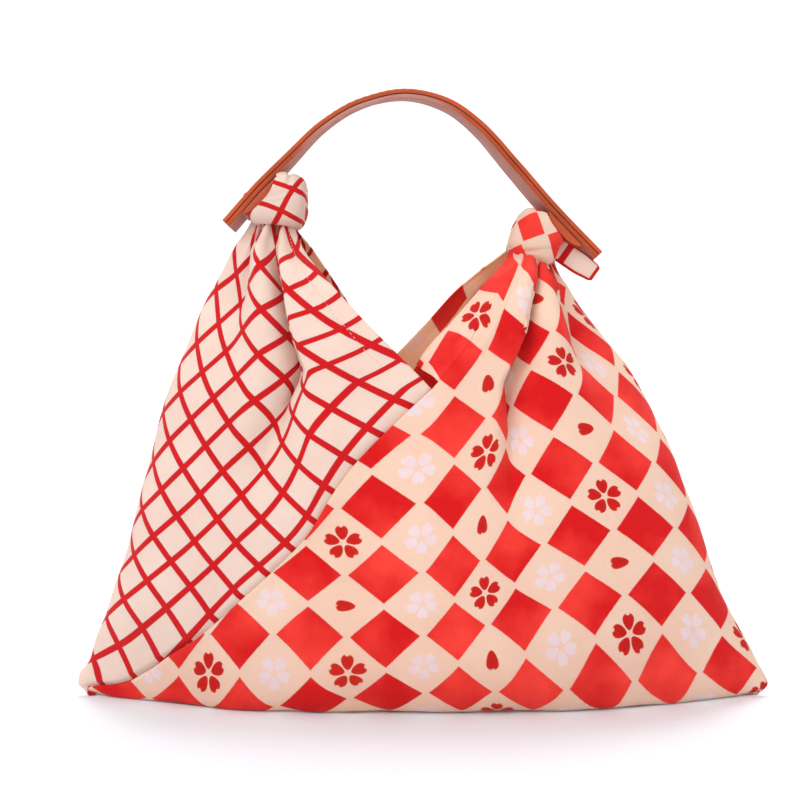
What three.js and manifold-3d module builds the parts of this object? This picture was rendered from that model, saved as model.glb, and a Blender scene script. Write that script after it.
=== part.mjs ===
// Azuma bag: a small cloth bag cut from one strip of three squares, knotted
// through the ends of a stitched leather handle and standing on its flat base.
//
// Millimetres, +Z up. The origin is the middle of the base. +X is to the
// right of the bag's front and the front faces -Y.
//
// The strip is folded so that the outer squares' diagonals hang as the two side
// folds and the middle square's diagonal is the bottom fold. A place on the
// cloth is given flat: p runs across the bag from -H at the left side fold to H
// at the right one, and q runs up from the bottom fold. The mouth's V is at
// q = H, and above it the left and the right side are apart.

import * as THREE from 'three';
import { mergeVertices } from 'three/addons/utils/BufferGeometryUtils.js';
import Module from 'manifold-3d';

// ---------------------------------------------------------------- dimensions

const SQUARE = 250; // side of each of the three squares
const H = SQUARE / Math.SQRT2; // half the diagonal of a square
const CLOTH = 1.2; // thickness of the cloth
const SEAM_GAP = 0.45; // along p, on each side of a seam
const CORNER_GAP = 1.2; // the same in the left corner, where the seams lie flatter
const LEFT_NECK = 250; // height q of the cloth where the left knot takes it
const RIGHT_NECK = 240;
const FACING_START = H + 3; // height q where the turned-in edge leaves the V
const FACING_FULL = H + 8; // and where it has its full width

const STRAP = { width: 22, layer: 2.1, gap: 0.35, steps: 44 };
const TAB = { width: 21, thick: 3.8, length: 23, inset: 9, tip: 0.8 };
const LEATHER_GAP = 0.4; // between leather and cloth

// ---------------------------------------------------------------- tables

// table('a b', [[1, 2], ...]) gives rows with named columns.
const table = (columns, rows) => {
  const names = columns.split(' ');
  return rows.map((row) => Object.fromEntries(names.map((name, i) => [name, row[i]])));
};

// The side folds: where they hang at each height q of the cloth. `power` is the
// roundness of the wall's plan there: 2 is an ellipse and more is boxier.
const LEFT_SIDE = table('q x z power', [
  [0, -166, 0, 2],
  [7, -172.4, 6, 2],
  [12, -171.4, 11.3, 2],
  [19, -166.6, 17, 2],
  [30, -163.6, 28, 2],
  [51, -154.5, 48.9, 2.4],
  [102, -140.5, 97.4, 2.7],
  [150, -128, 143.9, 2.6],
  [191, -114.5, 181.4, 2.4],
  [208, -108, 197.4, 2.2],
  [228, -99, 213.4, 2.1],
  [250, -88, 233.4, 2],
  [258, -84, 241, 2],
]);
const RIGHT_SIDE = table('q x z power', [
  [0, 167, 0, 2],
  [7, 172.4, 5.5, 2],
  [18, 167.6, 15.5, 2],
  [32, 160.6, 29, 2],
  [53, 148.6, 50.9, 2.4],
  [96, 133.5, 92.4, 2.7],
  [145, 115.5, 137.9, 2.6],
  [174, 101.5, 163.9, 2.5],
  [192, 90.5, 177.9, 2.3],
  [216, 76.5, 196.9, 2.1],
  [240, 67.5, 211.9, 2],
  [248, 65, 220, 2],
]);

// The middle of the front and of the back, up to the V. `depth` is how far the
// wall stands from the bag's middle plane.
const FRONT_MIDDLE = table('q x z depth', [
  [0, 0, 0, 0],
  [30, 0, 0, 30],
  [47, 0, 12.5, 41],
  [66, 0, 32.5, 46.5],
  [104, 1, 73.5, 49],
  [141, 2, 115, 48],
  [H, 3.2, 152.4, 45],
]);
const BACK_MIDDLE = table('q x z depth', [
  [0, 0, 0, 0],
  [30, 0, 0, 30],
  [47, -2, 13, 41],
  [66, -5, 34, 46.5],
  [104, -11, 79, 49],
  [141, -16, 124, 48],
  [H, -20, 166, 45],
]);

// The free hems above the V. `turn` is how far past its quarter the wall curls
// round towards the bag's middle, in degrees.
const LEFT_FRONT_HEM = table('q x z depth turn', [
  [H, 3.2, 152.4, 45, 0],
  [196, -15.6, 171.5, 41, 0],
  [207, -26.4, 182.4, 37, 3],
  [220, -38.4, 195.5, 32, 10],
  [231, -48.2, 206.9, 28, 25],
  [241, -56.8, 218, 21, 48],
  [250, -63, 231.5, 12.5, 70],
  [258, -66, 241, 9, 72],
]);
const LEFT_BACK_HEM = table('q x z depth turn', [
  [H, -20, 166, 45, 0],
  [207, -39, 199, 33, 4],
  [216, -46, 209.7, 28, 12],
  [232, -56, 224, 20, 42],
  [250, -63.5, 234, 12, 70],
  [258, -66, 242, 9, 72],
]);
const RIGHT_FRONT_CREASE = table('q x z depth turn', [
  [H, 3.2, 152.4, 45, 0],
  [193.5, 18.3, 170.4, 45, 0],
  [210, 29.4, 189.7, 40, 3],
  [225, 39.6, 206.5, 31, 14],
  [234, 45, 215.5, 22, 30],
  [240, 48.7, 222.7, 14, 50],
  [248, 52, 230, 10, 55],
]);
const RIGHT_BACK_HEM = table('q x z depth turn', [
  [H, -20, 166, 45, 0],
  [201, 3.4, 190, 38, 0],
  [216, 17.5, 205, 31.5, 6],
  [232, 33.5, 217.6, 23, 28],
  [240, 44, 225, 12.5, 62],
  [248, 50, 231, 9, 65],
]);
const FACING_HEM = table('q x y z', [
  [H, -9, -36, 156],
  [193.5, 1.6, -34, 172.3],
  [210, 12, -30, 183.7],
  [225, 25.8, -24, 199.5],
  [240, 41, -13, 219],
  [248, 47, -9, 229],
]);

// The front seam runs from the V to the left corner; `right` is how far it lies
// to the right of the middle square's straight edge.
const FRONT_SEAM = table('q right', [
  [5, 0],
  [18, 6],
  [37, 11],
  [50, 18],
  [70, 22],
  [100, 18],
  [125, 12],
  [150, 7],
  [H, 0],
]);

// The valleys between the folds that the knots gather, in order from the side
// fold towards the hem. `cloth` is the valley's place as a share of the cloth
// between those two, `seen` its share of the wall's outline there, both at the
// neck and at the height q `end` where it has died away. Depths are at the neck
// and at its deepest, a third of the way down.
const VALLEYS = table('quarter end clothNeck clothEnd seenNeck seenEnd neck deep', [
  ['leftFront', 160, 0.37, 0.33, 0.35, 0.3, 6.5, 9],
  ['leftFront', 104, 0.7, 0.5, 0.66, 0.46, 6.5, 13],
  ['leftBack', 120, 0.34, 0.3, 0.34, 0.32, 6.5, 10],
  ['leftBack', 150, 0.68, 0.6, 0.67, 0.6, 6.5, 9],
  ['rightFront', 116, 0.36, 0.26, 0.4, 0.26, 6.5, 12],
  ['rightFront', 104, 0.64, 0.7, 0.67, 0.74, 6.5, 12],
  ['rightBack', 120, 0.32, 0.34, 0.33, 0.35, 6.5, 11],
  ['rightBack', 140, 0.66, 0.62, 0.66, 0.62, 6.5, 9],
]);

// The handle's middle line, from its left end over the top to its right end.
// `roll` tips the strap's front edge up, in degrees.
const STRAP_LINE = table('x z roll', [
  [-98.7, 235.6, 0],
  [-84.5, 251.8, 0],
  [-67.9, 269.4, 5],
  [-51.7, 285.6, 10],
  [-32.6, 297.3, 13],
  [-9.1, 302.2, 10],
  [12.5, 296.9, 5],
  [28.7, 285.1, 0],
  [46.8, 264.5, -2],
  [64.5, 243.9, -2],
  [87.5, 219.9, -2],
]);

// ---------------------------------------------------------------- small maths

const clamp = (value, low, high) => Math.min(high, Math.max(low, value));
const mix = (a, b, share) => a + (b - a) * share;
const smooth = (share) => {
  const s = clamp(share, 0, 1);
  return s * s * (3 - 2 * s);
};
const degrees = (angle) => (angle * Math.PI) / 180;

// A column of a table as a smooth function of q that never overshoots a row.
function track(rows, column) {
  const q = rows.map((row) => row.q);
  const v = rows.map((row) => row[column]);
  const slope = q.slice(1).map((end, i) => (v[i + 1] - v[i]) / (end - q[i]));
  const bend = v.map((_, i) => {
    if (i === 0) return slope[0];
    if (i === v.length - 1) return slope[i - 1];
    const [before, after] = [slope[i - 1], slope[i]];
    return before * after <= 0 ? 0 : (2 * before * after) / (before + after);
  });
  return (at) => {
    let i = 0;
    while (i < q.length - 2 && at > q[i + 1]) i += 1;
    const step = q[i + 1] - q[i];
    const s = clamp((at - q[i]) / step, 0, 1);
    return (
      v[i] * (2 * s ** 3 - 3 * s ** 2 + 1) +
      v[i + 1] * (3 * s ** 2 - 2 * s ** 3) +
      step * (bend[i] * (s ** 3 - 2 * s ** 2 + s) + bend[i + 1] * (s ** 3 - s ** 2))
    );
  };
}

const tracks = (rows) =>
  Object.fromEntries(
    Object.keys(rows[0])
      .filter((column) => column !== 'q')
      .map((column) => [column, track(rows, column)]),
  );

// ---------------------------------------------------------------- the wall

// Each quarter of the bag's wall runs from a side fold round to the middle or,
// above the V, to a hem. `hand` is 1 on the left, `out` is -1 in front.
const left = { side: LEFT_SIDE, neck: LEFT_NECK, hand: 1 };
const right = { side: RIGHT_SIDE, neck: RIGHT_NECK, hand: -1 };
const QUARTERS = {
  leftFront: { ...left, middle: FRONT_MIDDLE, hem: LEFT_FRONT_HEM, out: -1 },
  leftBack: { ...left, middle: BACK_MIDDLE, hem: LEFT_BACK_HEM, out: 1 },
  rightFront: { ...right, middle: FRONT_MIDDLE, hem: RIGHT_FRONT_CREASE, out: -1 },
  rightBack: { ...right, middle: BACK_MIDDLE, hem: RIGHT_BACK_HEM, out: 1 },
};
for (const [name, quarter] of Object.entries(QUARTERS)) {
  quarter.side = tracks(quarter.side);
  quarter.middle = tracks(quarter.middle);
  quarter.hem = tracks(quarter.hem);
  quarter.valleys = VALLEYS.filter((valley) => valley.quarter === name);
}

// The cloth between a side fold and the middle or hem, at height q.
const quarterCloth = (q) => (q < H ? H : 2 * H - q);

// The smooth outline of a quarter at height q: points from the side fold to the
// middle or hem, each with its distance along the outline.
const OUTLINE_STEPS = 40;
const signedPower = (value, power) => Math.sign(value) * Math.abs(value) ** power;

function outline(quarter, q) {
  const end = q < H ? quarter.middle : quarter.hem;
  const endX = end.x(q);
  const endZ = end.z(q);
  const depth = quarter.out * end.depth(q);
  const sideX = quarter.side.x(q);
  const sideZ = quarter.side.z(q);
  const power = 2 / quarter.side.power(q);
  const sweep = Math.PI / 2 + degrees(q < H ? 0 : quarter.hem.turn(q));
  const half = (endX - sideX) / (1 - signedPower(Math.cos(sweep), power));
  // low down the cloth reaches the ground close to the corner
  const drop = mix(0.08, 1, smooth(q / 75));
  const points = [];
  for (let i = 0; i <= OUTLINE_STEPS; i += 1) {
    const angle = (sweep * i) / OUTLINE_STEPS;
    const across = half * (1 - signedPower(Math.cos(angle), power));
    const height = mix(sideZ, endZ, smooth(Math.abs(across / (endX - sideX)) / drop));
    const place = new THREE.Vector3(sideX + across, depth * signedPower(Math.sin(angle), power), height);
    const length = i === 0 ? 0 : points[i - 1].length + place.distanceTo(points[i - 1].place);
    points.push({ place, length });
  }
  return points;
}

function along(points, share) {
  const wanted = clamp(share, 0, 1) * points[points.length - 1].length;
  let i = 0;
  while (i < points.length - 2 && points[i + 1].length < wanted) i += 1;
  const [a, b] = [points[i], points[i + 1]];
  return a.place.clone().lerp(b.place, (wanted - a.length) / (b.length - a.length));
}

// The crests and valleys of a quarter at height q, from the side fold on: the
// share of the cloth, the share of the outline and the depth of each.
const EVEN_BELOW = 150; // height q under which the folds' shares grow even
const CREST_BEFORE_HEM = 0.42;
const CREST_SEEN = 0.5;

function folds(quarter, q) {
  const keys = [{ cloth: 0, seen: 0, depth: 0 }];
  quarter.valleys.forEach((valley) => {
    const rise = clamp((q - valley.end) / (quarter.neck - valley.end), 0, 1);
    const key = {
      cloth: mix(valley.clothEnd, valley.clothNeck, rise),
      seen: mix(valley.seenEnd, valley.seenNeck, rise),
      depth: mix(valley.deep * smooth(rise / 0.7), valley.neck, smooth((rise - 0.7) / 0.3)),
    };
    const last = keys[keys.length - 1];
    if (keys.length > 1) {
      keys.push({ cloth: (last.cloth + key.cloth) / 2, seen: (last.seen + key.seen) / 2, depth: 0 });
    }
    keys.push(key);
  });
  const last = keys[keys.length - 1];
  keys.push({
    cloth: mix(last.cloth, 1, CREST_BEFORE_HEM),
    seen: mix(last.seen, 1, mix(CREST_BEFORE_HEM, CREST_SEEN * CREST_BEFORE_HEM, last.depth / 10)),
    depth: 0,
  });
  keys.push({ cloth: 1, seen: 1, depth: 0 });
  // near the base the cloth lies evenly along the outline
  return keys.map((key) => ({ ...key, seen: mix(key.cloth, key.seen, smooth(q / EVEN_BELOW)) }));
}

// A point of the bag's outer face: `cloth` is its share of the quarter's cloth.
function wallPoint(quarter, q, cloth) {
  const points = outline(quarter, q);
  const keys = folds(quarter, q);
  let i = 0;
  while (i < keys.length - 2 && cloth > keys[i + 1].cloth) i += 1;
  const [a, b] = [keys[i], keys[i + 1]];
  const share = clamp((cloth - a.cloth) / (b.cloth - a.cloth), 0, 1);
  const depth = Math.max(a.depth, b.depth);
  const width = (b.seen - a.seen) * points[points.length - 1].length;
  const steep = clamp(depth / width, 0, 1); // a deep narrow valley has steep walls
  const down = a.depth < b.depth ? share : 1 - share; // from the crest to the valley
  const quarterTurn = (down * Math.PI) / 2;
  const moved = mix(down, Math.sin(quarterTurn), steep);
  const sunk = depth * mix(smooth(down), 1 - Math.cos(quarterTurn), steep / 2);
  const seen = mix(a.seen, b.seen, a.depth < b.depth ? moved : 1 - moved);
  const place = along(points, seen);
  if (depth > 0) {
    const tangent = along(points, seen + 0.02).sub(along(points, seen - 0.02));
    const inwards = -quarter.out * quarter.hand;
    place.add(new THREE.Vector3(-tangent.y, tangent.x, 0).setLength(inwards * sunk));
  }
  return place;
}

// ---------------------------------------------------------------- cloth solids

// The rows of both pieces, closer together where the wall bends.
const CORNER = 5; // the lowest row of the seams, just over the bag's left corner
const BELOW = [CORNER, 8, 16, 24, 34, 46, 60, 76, 93, 111, 130, 148, 163, H];
const LEFT_ROWS = [...BELOW, 187, 196, 204, 212, 219, 226, 232, 238, 244, LEFT_NECK, 258];
const ABOVE = [FACING_START, FACING_FULL, 193, 201, 208, 215, 221, 228, 234, RIGHT_NECK, 248];
const RIGHT_ROWS = [0, ...BELOW, ...ABOVE];
const STEPS = [3, 3, 3, 3]; // columns between crests and valleys, from the side fold on
const GRID_LAST = 5; // columns from the last crest to the seam or hem
const CHECK_LAST = 9;

// Where the columns lie, as shares of a face's cloth from its side fold to its
// seam or hem. They follow the folds high up and are even at the base.
function columns(quarter, q, faceCloth, lastSteps) {
  const high = Math.max(q, EVEN_BELOW);
  const scale = quarterCloth(high) / faceCloth(quarter, high);
  const keys = folds(quarter, high).map((key) => key.cloth * scale);
  keys[keys.length - 1] = 1;
  const shares = [0];
  [...STEPS, lastSteps].forEach((steps, i) => {
    for (let k = 1; k <= steps; k += 1) shares.push(mix(keys[i], keys[i + 1], k / steps));
  });
  const even = shares.length - 1;
  return shares.map((share, k) => mix(k / even, share, smooth(q / EVEN_BELOW)));
}

const seamGap = (q) => mix(CORNER_GAP, SEAM_GAP, smooth(q / 40));
const seamRight = track(FRONT_SEAM, 'right');
const seamShift = (quarter, q) => (quarter.out < 0 && q < H ? seamRight(Math.max(q, CORNER)) : 0);
const gridCloth = (quarter, q) => (q < H ? q + seamShift(quarter, q) - seamGap(q) : 2 * H - q);
const checkCloth = (quarter, q) =>
  2 * H - Math.max(q, CORNER) - seamShift(quarter, q) - (q <= H ? seamGap(q) : 0);

const gridFace = (quarter) =>
  LEFT_ROWS.map((q) =>
    columns(quarter, q, gridCloth, GRID_LAST).map((share) => {
      const cloth = (share * gridCloth(quarter, q)) / quarterCloth(q);
      return wallPoint(quarter, q, cloth);
    }),
  );

// The double square passes the middle below the V, into the left quarter.
const checkFace = (quarter, beyond) =>
  RIGHT_ROWS.map((q) =>
    columns(quarter, q, checkCloth, CHECK_LAST).map((share) => {
      const cloth = (share * checkCloth(quarter, q)) / quarterCloth(q);
      return cloth <= 1 ? wallPoint(quarter, q, cloth) : wallPoint(beyond, q, 2 - cloth);
    }),
  );

// The right front edge is turned in past its crease.
const FACING_COLUMNS = 3;

function facing() {
  const hem = tracks(FACING_HEM.map(({ q, x, y, z }) => ({ q, x, y, z })));
  return RIGHT_ROWS.filter((q) => q >= FACING_START).map((q) => {
    const crease = wallPoint(QUARTERS.rightFront, q, 1);
    const edge = new THREE.Vector3(hem.x(q), hem.y(q), hem.z(q));
    const full = clamp((q - FACING_START) / (FACING_FULL - FACING_START), 0, 1);
    return Array.from({ length: FACING_COLUMNS + 1 }, (_, k) =>
      crease.clone().lerp(edge, (full * k) / FACING_COLUMNS),
    );
  });
}

// Grids of places as one surface, with shared places merged.
function surface(grids) {
  const corners = [];
  grids.forEach(({ rows, flip }) => {
    for (let r = 0; r < rows.length - 1; r += 1) {
      for (let c = 0; c < rows[r].length - 1; c += 1) {
        const [a, b, d, e] = [rows[r][c], rows[r][c + 1], rows[r + 1][c + 1], rows[r + 1][c]];
        const halves = flip ? [[a, d, b], [a, e, d]] : [[a, b, d], [a, d, e]];
        halves
          .filter(([u, v, w]) => Math.min(u.distanceTo(v), v.distanceTo(w), w.distanceTo(u)) > 1e-4)
          .forEach((half) => corners.push(...half));
      }
    }
  });
  return mergeVertices(new THREE.BufferGeometry().setFromPoints(corners), 1e-4);
}

// A surface given the cloth's thickness, inwards, with its edges closed. In the
// narrow corners the inner face keeps at least a share of the outer one's place.
const CORNER_ROOM = 0.35;

function thicken(outer) {
  outer.computeVertexNormals();
  const { position, normal } = outer.attributes;
  const count = position.count;
  const places = [...position.array];
  for (let i = 0; i < count; i += 1) {
    const inner = new THREE.Vector3().fromBufferAttribute(position, i);
    inner.addScaledVector(new THREE.Vector3().fromBufferAttribute(normal, i), -CLOTH);
    const outerY = position.getY(i);
    const ownSide = CORNER_ROOM * Math.abs(outerY);
    const y = Math.sign(outerY) * Math.max(inner.y * Math.sign(outerY), ownSide);
    places.push(inner.x, y, inner.z);
  }
  const faces = [...outer.index.array];
  const edges = new Set();
  for (let i = 0; i < faces.length; i += 3) {
    [0, 1, 2].forEach((k) => edges.add(`${faces[i + k]} ${faces[i + ((k + 1) % 3)]}`));
  }
  const sheet = [...faces];
  for (let i = 0; i < faces.length; i += 3) {
    sheet.push(faces[i] + count, faces[i + 2] + count, faces[i + 1] + count);
  }
  edges.forEach((edge) => {
    const [a, b] = edge.split(' ').map(Number);
    if (!edges.has(`${b} ${a}`)) sheet.push(b, a, a + count, b, a + count, b + count);
  });
  const closed = new THREE.BufferGeometry();
  closed.setAttribute('position', new THREE.Float32BufferAttribute(places, 3));
  closed.setIndex(sheet);
  return closed;
}

// ---------------------------------------------------------------- the handle

const strapCurve = new THREE.CatmullRomCurve3(STRAP_LINE.map(({ x, z }) => new THREE.Vector3(x, 0, z)));
const strapLength = strapCurve.getLength();

function strapRoll(share) {
  const at = share * (STRAP_LINE.length - 1);
  const i = Math.min(Math.floor(at), STRAP_LINE.length - 2);
  return degrees(mix(STRAP_LINE[i].roll, STRAP_LINE[i + 1].roll, at - i));
}

// Bends a flat block along the handle: its x is the distance from the handle's
// left end, its y the place across the strap and its z the height over the
// strap's outer face.
function bendAlong(block) {
  const places = block.attributes.position;
  for (let i = 0; i < places.count; i += 1) {
    const share = clamp(places.getX(i) / strapLength, 0, 1);
    const tangent = strapCurve.getTangentAt(share);
    const up = new THREE.Vector3(-tangent.z, 0, tangent.x).applyAxisAngle(tangent, strapRoll(share));
    const across = new THREE.Vector3().crossVectors(up, tangent);
    const place = strapCurve.getPointAt(share);
    place.addScaledVector(across, places.getY(i)).addScaledVector(up, places.getZ(i));
    places.setXYZ(i, place.x, place.y, place.z);
  }
  return block;
}

function strapLayer(top) {
  const block = new THREE.BoxGeometry(strapLength, STRAP.width, STRAP.layer, STRAP.steps, 2, 1);
  return bendAlong(block.translate(strapLength / 2, 0, top - STRAP.layer / 2));
}

const STRAP_THICK = 2 * STRAP.layer + STRAP.gap;

// A keeper tab under the strap: `start` is its distance from the left end. Its
// ends thin out to `tip`.
const tabThickness = (share) => mix(TAB.tip, TAB.thick, 1 - Math.abs(2 * share - 1) ** 3);

function tab(start) {
  const block = new THREE.BoxGeometry(TAB.length, TAB.width, 1, 10, 2, 1);
  const places = block.attributes.position;
  for (let i = 0; i < places.count; i += 1) {
    const thick = tabThickness(places.getX(i) / TAB.length + 0.5);
    const under = places.getZ(i) > 0 ? 0 : thick;
    places.setZ(i, -STRAP_THICK - STRAP.gap - under);
  }
  return bendAlong(block.translate(start + TAB.length / 2, 0, 0));
}

const LEFT_TAB = TAB.inset;
const RIGHT_TAB = strapLength - TAB.inset - TAB.length;

// The room that the strap and its tab need in a knot, clear of the knot's back.
function leatherRoom(start) {
  const reach = { along: 30, front: 22, back: STRAP.width / 2 + LEATHER_GAP, above: 25 };
  const deep = STRAP_THICK + STRAP.gap + TAB.thick + LEATHER_GAP;
  const low = Math.max(0, start - reach.along);
  const high = Math.min(strapLength, start + TAB.length + reach.along);
  const block = new THREE.BoxGeometry(high - low, reach.front + reach.back, deep + reach.above, 12, 1, 1);
  block.translate((low + high) / 2, (reach.back - reach.front) / 2, (reach.above - deep) / 2);
  return bendAlong(block);
}

// ---------------------------------------------------------------- knots, tails

// A knot is a rounded lump of wrapped cloth, squarer than a ball.
const KNOT_POWER = 3;

function knot({ x, y, z, width, depth, height, lean }) {
  const ball = new THREE.SphereGeometry(1, 20, 12);
  const places = ball.attributes.position;
  for (let i = 0; i < places.count; i += 1) {
    const place = new THREE.Vector3().fromBufferAttribute(places, i);
    const size = [place.x, place.y, place.z].reduce((sum, v) => sum + Math.abs(v) ** KNOT_POWER, 0);
    place.divideScalar(size ** (1 / KNOT_POWER));
    places.setXYZ(i, (place.x * width) / 2, (place.y * depth) / 2, (place.z * height) / 2);
  }
  return ball.rotateY(degrees(lean)).translate(x, y, z);
}

// A tail is the flattened free corner of the cloth past its knot.
function tail(from, to, width, thick) {
  const length = from.distanceTo(to);
  const block = new THREE.BoxGeometry(length, thick, width, 6, 1, 4);
  const places = block.attributes.position;
  for (let i = 0; i < places.count; i += 1) {
    const share = places.getX(i) / length + 0.5;
    const narrow = mix(1, 0.8, smooth((share - 0.75) / 0.25));
    places.setZ(i, places.getZ(i) * narrow);
  }
  const run = to.clone().sub(from).normalize();
  const wide = new THREE.Vector3().crossVectors(run, new THREE.Vector3(0, 1, 0)).normalize();
  const flat = new THREE.Vector3().crossVectors(wide, run);
  const frame = new THREE.Matrix4().makeBasis(run, flat, wide);
  return block.applyMatrix4(frame.setPosition(from.clone().lerp(to, 0.5)));
}

// ---------------------------------------------------------------- solids

const wasm = await Module();
wasm.setup();

function solid(geometry) {
  const bare = geometry.clone();
  bare.deleteAttribute('normal');
  bare.deleteAttribute('uv');
  const merged = mergeVertices(bare, 1e-4);
  const mesh = new wasm.Mesh({
    numProp: 3,
    vertProperties: new Float32Array(merged.attributes.position.array),
    triVerts: new Uint32Array(merged.index.array),
  });
  return new wasm.Manifold(mesh);
}

function geometryOf(body) {
  const { vertProperties, triVerts } = body.getMesh();
  const geometry = new THREE.BufferGeometry();
  geometry.setAttribute('position', new THREE.BufferAttribute(vertProperties, 3));
  geometry.setIndex(new THREE.BufferAttribute(triVerts, 1));
  geometry.computeVertexNormals();
  return geometry;
}

const { leftFront, leftBack, rightFront, rightBack } = QUARTERS;

const gridShell = thicken(
  surface([
    { rows: gridFace(leftFront), flip: false },
    { rows: gridFace(leftBack), flip: true },
  ]),
);
const checkShell = thicken(
  surface([
    { rows: checkFace(rightFront, leftFront), flip: true },
    { rows: checkFace(rightBack, leftBack), flip: false },
    { rows: facing(), flip: true },
  ]),
);

const leftKnot = knot({ x: -72.4, y: 0.5, z: 246.5, width: 28.4, depth: 27, height: 27.5, lean: 4 });
const rightKnot = knot({ x: 55, y: 0.5, z: 227.5, width: 27, depth: 27, height: 26, lean: 20 });
const leftTail = tail(new THREE.Vector3(-74, 13.4, 246), new THREE.Vector3(-95, 14, 251), 14, 3.4);
const rightTail = tail(new THREE.Vector3(56, -4, 230.3), new THREE.Vector3(83.6, -5, 208.4), 9.4, 3.2);

const knotted = (shell, lump, end, start) =>
  solid(shell).add(solid(lump)).subtract(solid(leatherRoom(start))).add(solid(end));

const gridSquare = knotted(gridShell, leftKnot, leftTail, LEFT_TAB);
const checkLength = knotted(checkShell, rightKnot, rightTail, RIGHT_TAB);

// ---------------------------------------------------------------- the object

const finish = {
  grid: new THREE.MeshStandardMaterial({ color: 0xeddfd0, roughness: 0.85, metalness: 0 }),
  check: new THREE.MeshStandardMaterial({ color: 0xe8604a, roughness: 0.8, metalness: 0 }),
  leather: new THREE.MeshStandardMaterial({ color: 0xc4541c, roughness: 0.5, metalness: 0 }),
  underLeather: new THREE.MeshStandardMaterial({ color: 0xb87060, roughness: 0.7, metalness: 0 }),
};

function piece(name, geometry, material) {
  const mesh = new THREE.Mesh(geometry, material);
  mesh.name = name;
  return mesh;
}

const group = new THREE.Group();
group.add(
  piece('grid_square', geometryOf(gridSquare), finish.grid),
  piece('check_length', geometryOf(checkLength), finish.check),
  piece('strap_upper', strapLayer(0), finish.leather),
  piece('strap_under', strapLayer(-STRAP.layer - STRAP.gap), finish.underLeather),
  piece('tab_left', tab(LEFT_TAB), finish.leather),
  piece('tab_right', tab(RIGHT_TAB), finish.leather),
);

export default group;
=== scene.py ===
# %% [markdown]
# # An azuma bag on a leather handle
# An azuma bag is folded, not cut to shape. One strip of cloth, three squares
# long, is folded so that its two outer squares lean against each other, and
# the free corners are knotted. Here both knots hold the ends of a short
# leather handle. This file dresses the bag's plain solids: it makes the cloth
# with its folds, hems and print, the knots, the stitched leather, the light
# and the camera. Everything is in metres, and the front faces -Y.

import math

import bmesh
import bpy
import numpy as np
from mathutils import Matrix, Vector, noise


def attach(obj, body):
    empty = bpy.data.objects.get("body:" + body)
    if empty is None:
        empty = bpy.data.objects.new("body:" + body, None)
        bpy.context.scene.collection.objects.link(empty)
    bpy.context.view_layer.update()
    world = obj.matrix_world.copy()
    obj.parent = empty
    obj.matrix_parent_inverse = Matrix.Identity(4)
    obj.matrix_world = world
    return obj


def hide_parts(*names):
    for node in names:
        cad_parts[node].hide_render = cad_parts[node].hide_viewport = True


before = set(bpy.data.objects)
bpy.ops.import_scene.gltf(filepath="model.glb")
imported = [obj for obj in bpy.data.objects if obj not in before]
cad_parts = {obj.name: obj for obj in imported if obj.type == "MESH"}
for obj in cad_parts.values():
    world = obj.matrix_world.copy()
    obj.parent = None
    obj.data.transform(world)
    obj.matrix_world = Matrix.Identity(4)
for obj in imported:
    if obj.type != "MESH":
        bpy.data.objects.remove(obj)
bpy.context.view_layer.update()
MM = 0.001
print("solids", sorted(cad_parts))

# %% [markdown]
# ## The strip and its places
# A pattern maker works in flat cloth. So does this file: a place on the cloth
# is (p, q), where p runs across the bag from the left side fold at -H to the
# right one at H, and q runs up from the bottom fold. H is half the diagonal of
# a square, and the mouth's V is at q = H. The same two numbers later place
# the print, which is why it bends with every fold and never stretches.

# %% Strip
SQUARE = 250.0  # side of each square of the strip, mm
H = SQUARE / math.sqrt(2)
LEFT_NECK, RIGHT_NECK = 250.0, 240.0  # heights q where the knots take the cloth
FACING_START, FACING_FULL = H + 3, H + 8  # where the turned-in edge leaves the V
EVEN_BELOW = 150.0  # under this height the folds die away into an even wall
print("half a square's diagonal", round(H, 1), "mm")

# %% [markdown]
# ## Where the cloth hangs
# These short tables say where the side folds, the middle of the front and back
# and the four free edges hang at each height q, in millimetres. `power` is the
# roundness of the wall's plan, and `turn` is how far an edge curls inwards.

# %% Tables
def table(columns, *rows):
    return [dict(zip(columns.split(), row)) for row in rows]


LEFT_SIDE = table(
    "q x z power",
    (0, -166, 0, 2), (7, -172.4, 6, 2), (12, -171.4, 11.3, 2), (19, -166.6, 17, 2),
    (30, -163.6, 28, 2), (51, -154.5, 48.9, 2.4), (102, -140.5, 97.4, 2.7),
    (150, -128, 143.9, 2.6), (191, -114.5, 181.4, 2.4), (208, -108, 197.4, 2.2),
    (228, -99, 213.4, 2.1), (250, -88, 233.4, 2), (258, -84, 241, 2),
)
RIGHT_SIDE = table(
    "q x z power",
    (0, 167, 0, 2), (7, 172.4, 5.5, 2), (18, 167.6, 15.5, 2), (32, 160.6, 29, 2),
    (53, 148.6, 50.9, 2.4), (96, 133.5, 92.4, 2.7), (145, 115.5, 137.9, 2.6),
    (174, 101.5, 163.9, 2.5), (192, 90.5, 177.9, 2.3), (216, 76.5, 196.9, 2.1),
    (240, 67.5, 211.9, 2), (248, 65, 220, 2),
)
FRONT_MIDDLE = table(
    "q x z depth",
    (0, 0, 0, 0), (30, 0, 0, 30), (47, 0, 12.5, 41), (66, 0, 32.5, 46.5),
    (104, 1, 73.5, 49), (141, 2, 115, 48), (H, 3.2, 152.4, 45),
)
BACK_MIDDLE = table(
    "q x z depth",
    (0, 0, 0, 0), (30, 0, 0, 30), (47, -2, 13, 41), (66, -5, 34, 46.5),
    (104, -11, 79, 49), (141, -16, 124, 48), (H, -20, 166, 45),
)
LEFT_FRONT_HEM = table(
    "q x z depth turn",
    (H, 3.2, 152.4, 45, 0), (196, -15.6, 171.5, 41, 0), (207, -26.4, 182.4, 37, 3),
    (220, -38.4, 195.5, 32, 10), (231, -48.2, 206.9, 28, 25), (241, -56.8, 218, 21, 48),
    (250, -63, 231.5, 12.5, 70), (258, -66, 241, 9, 72),
)
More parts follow.
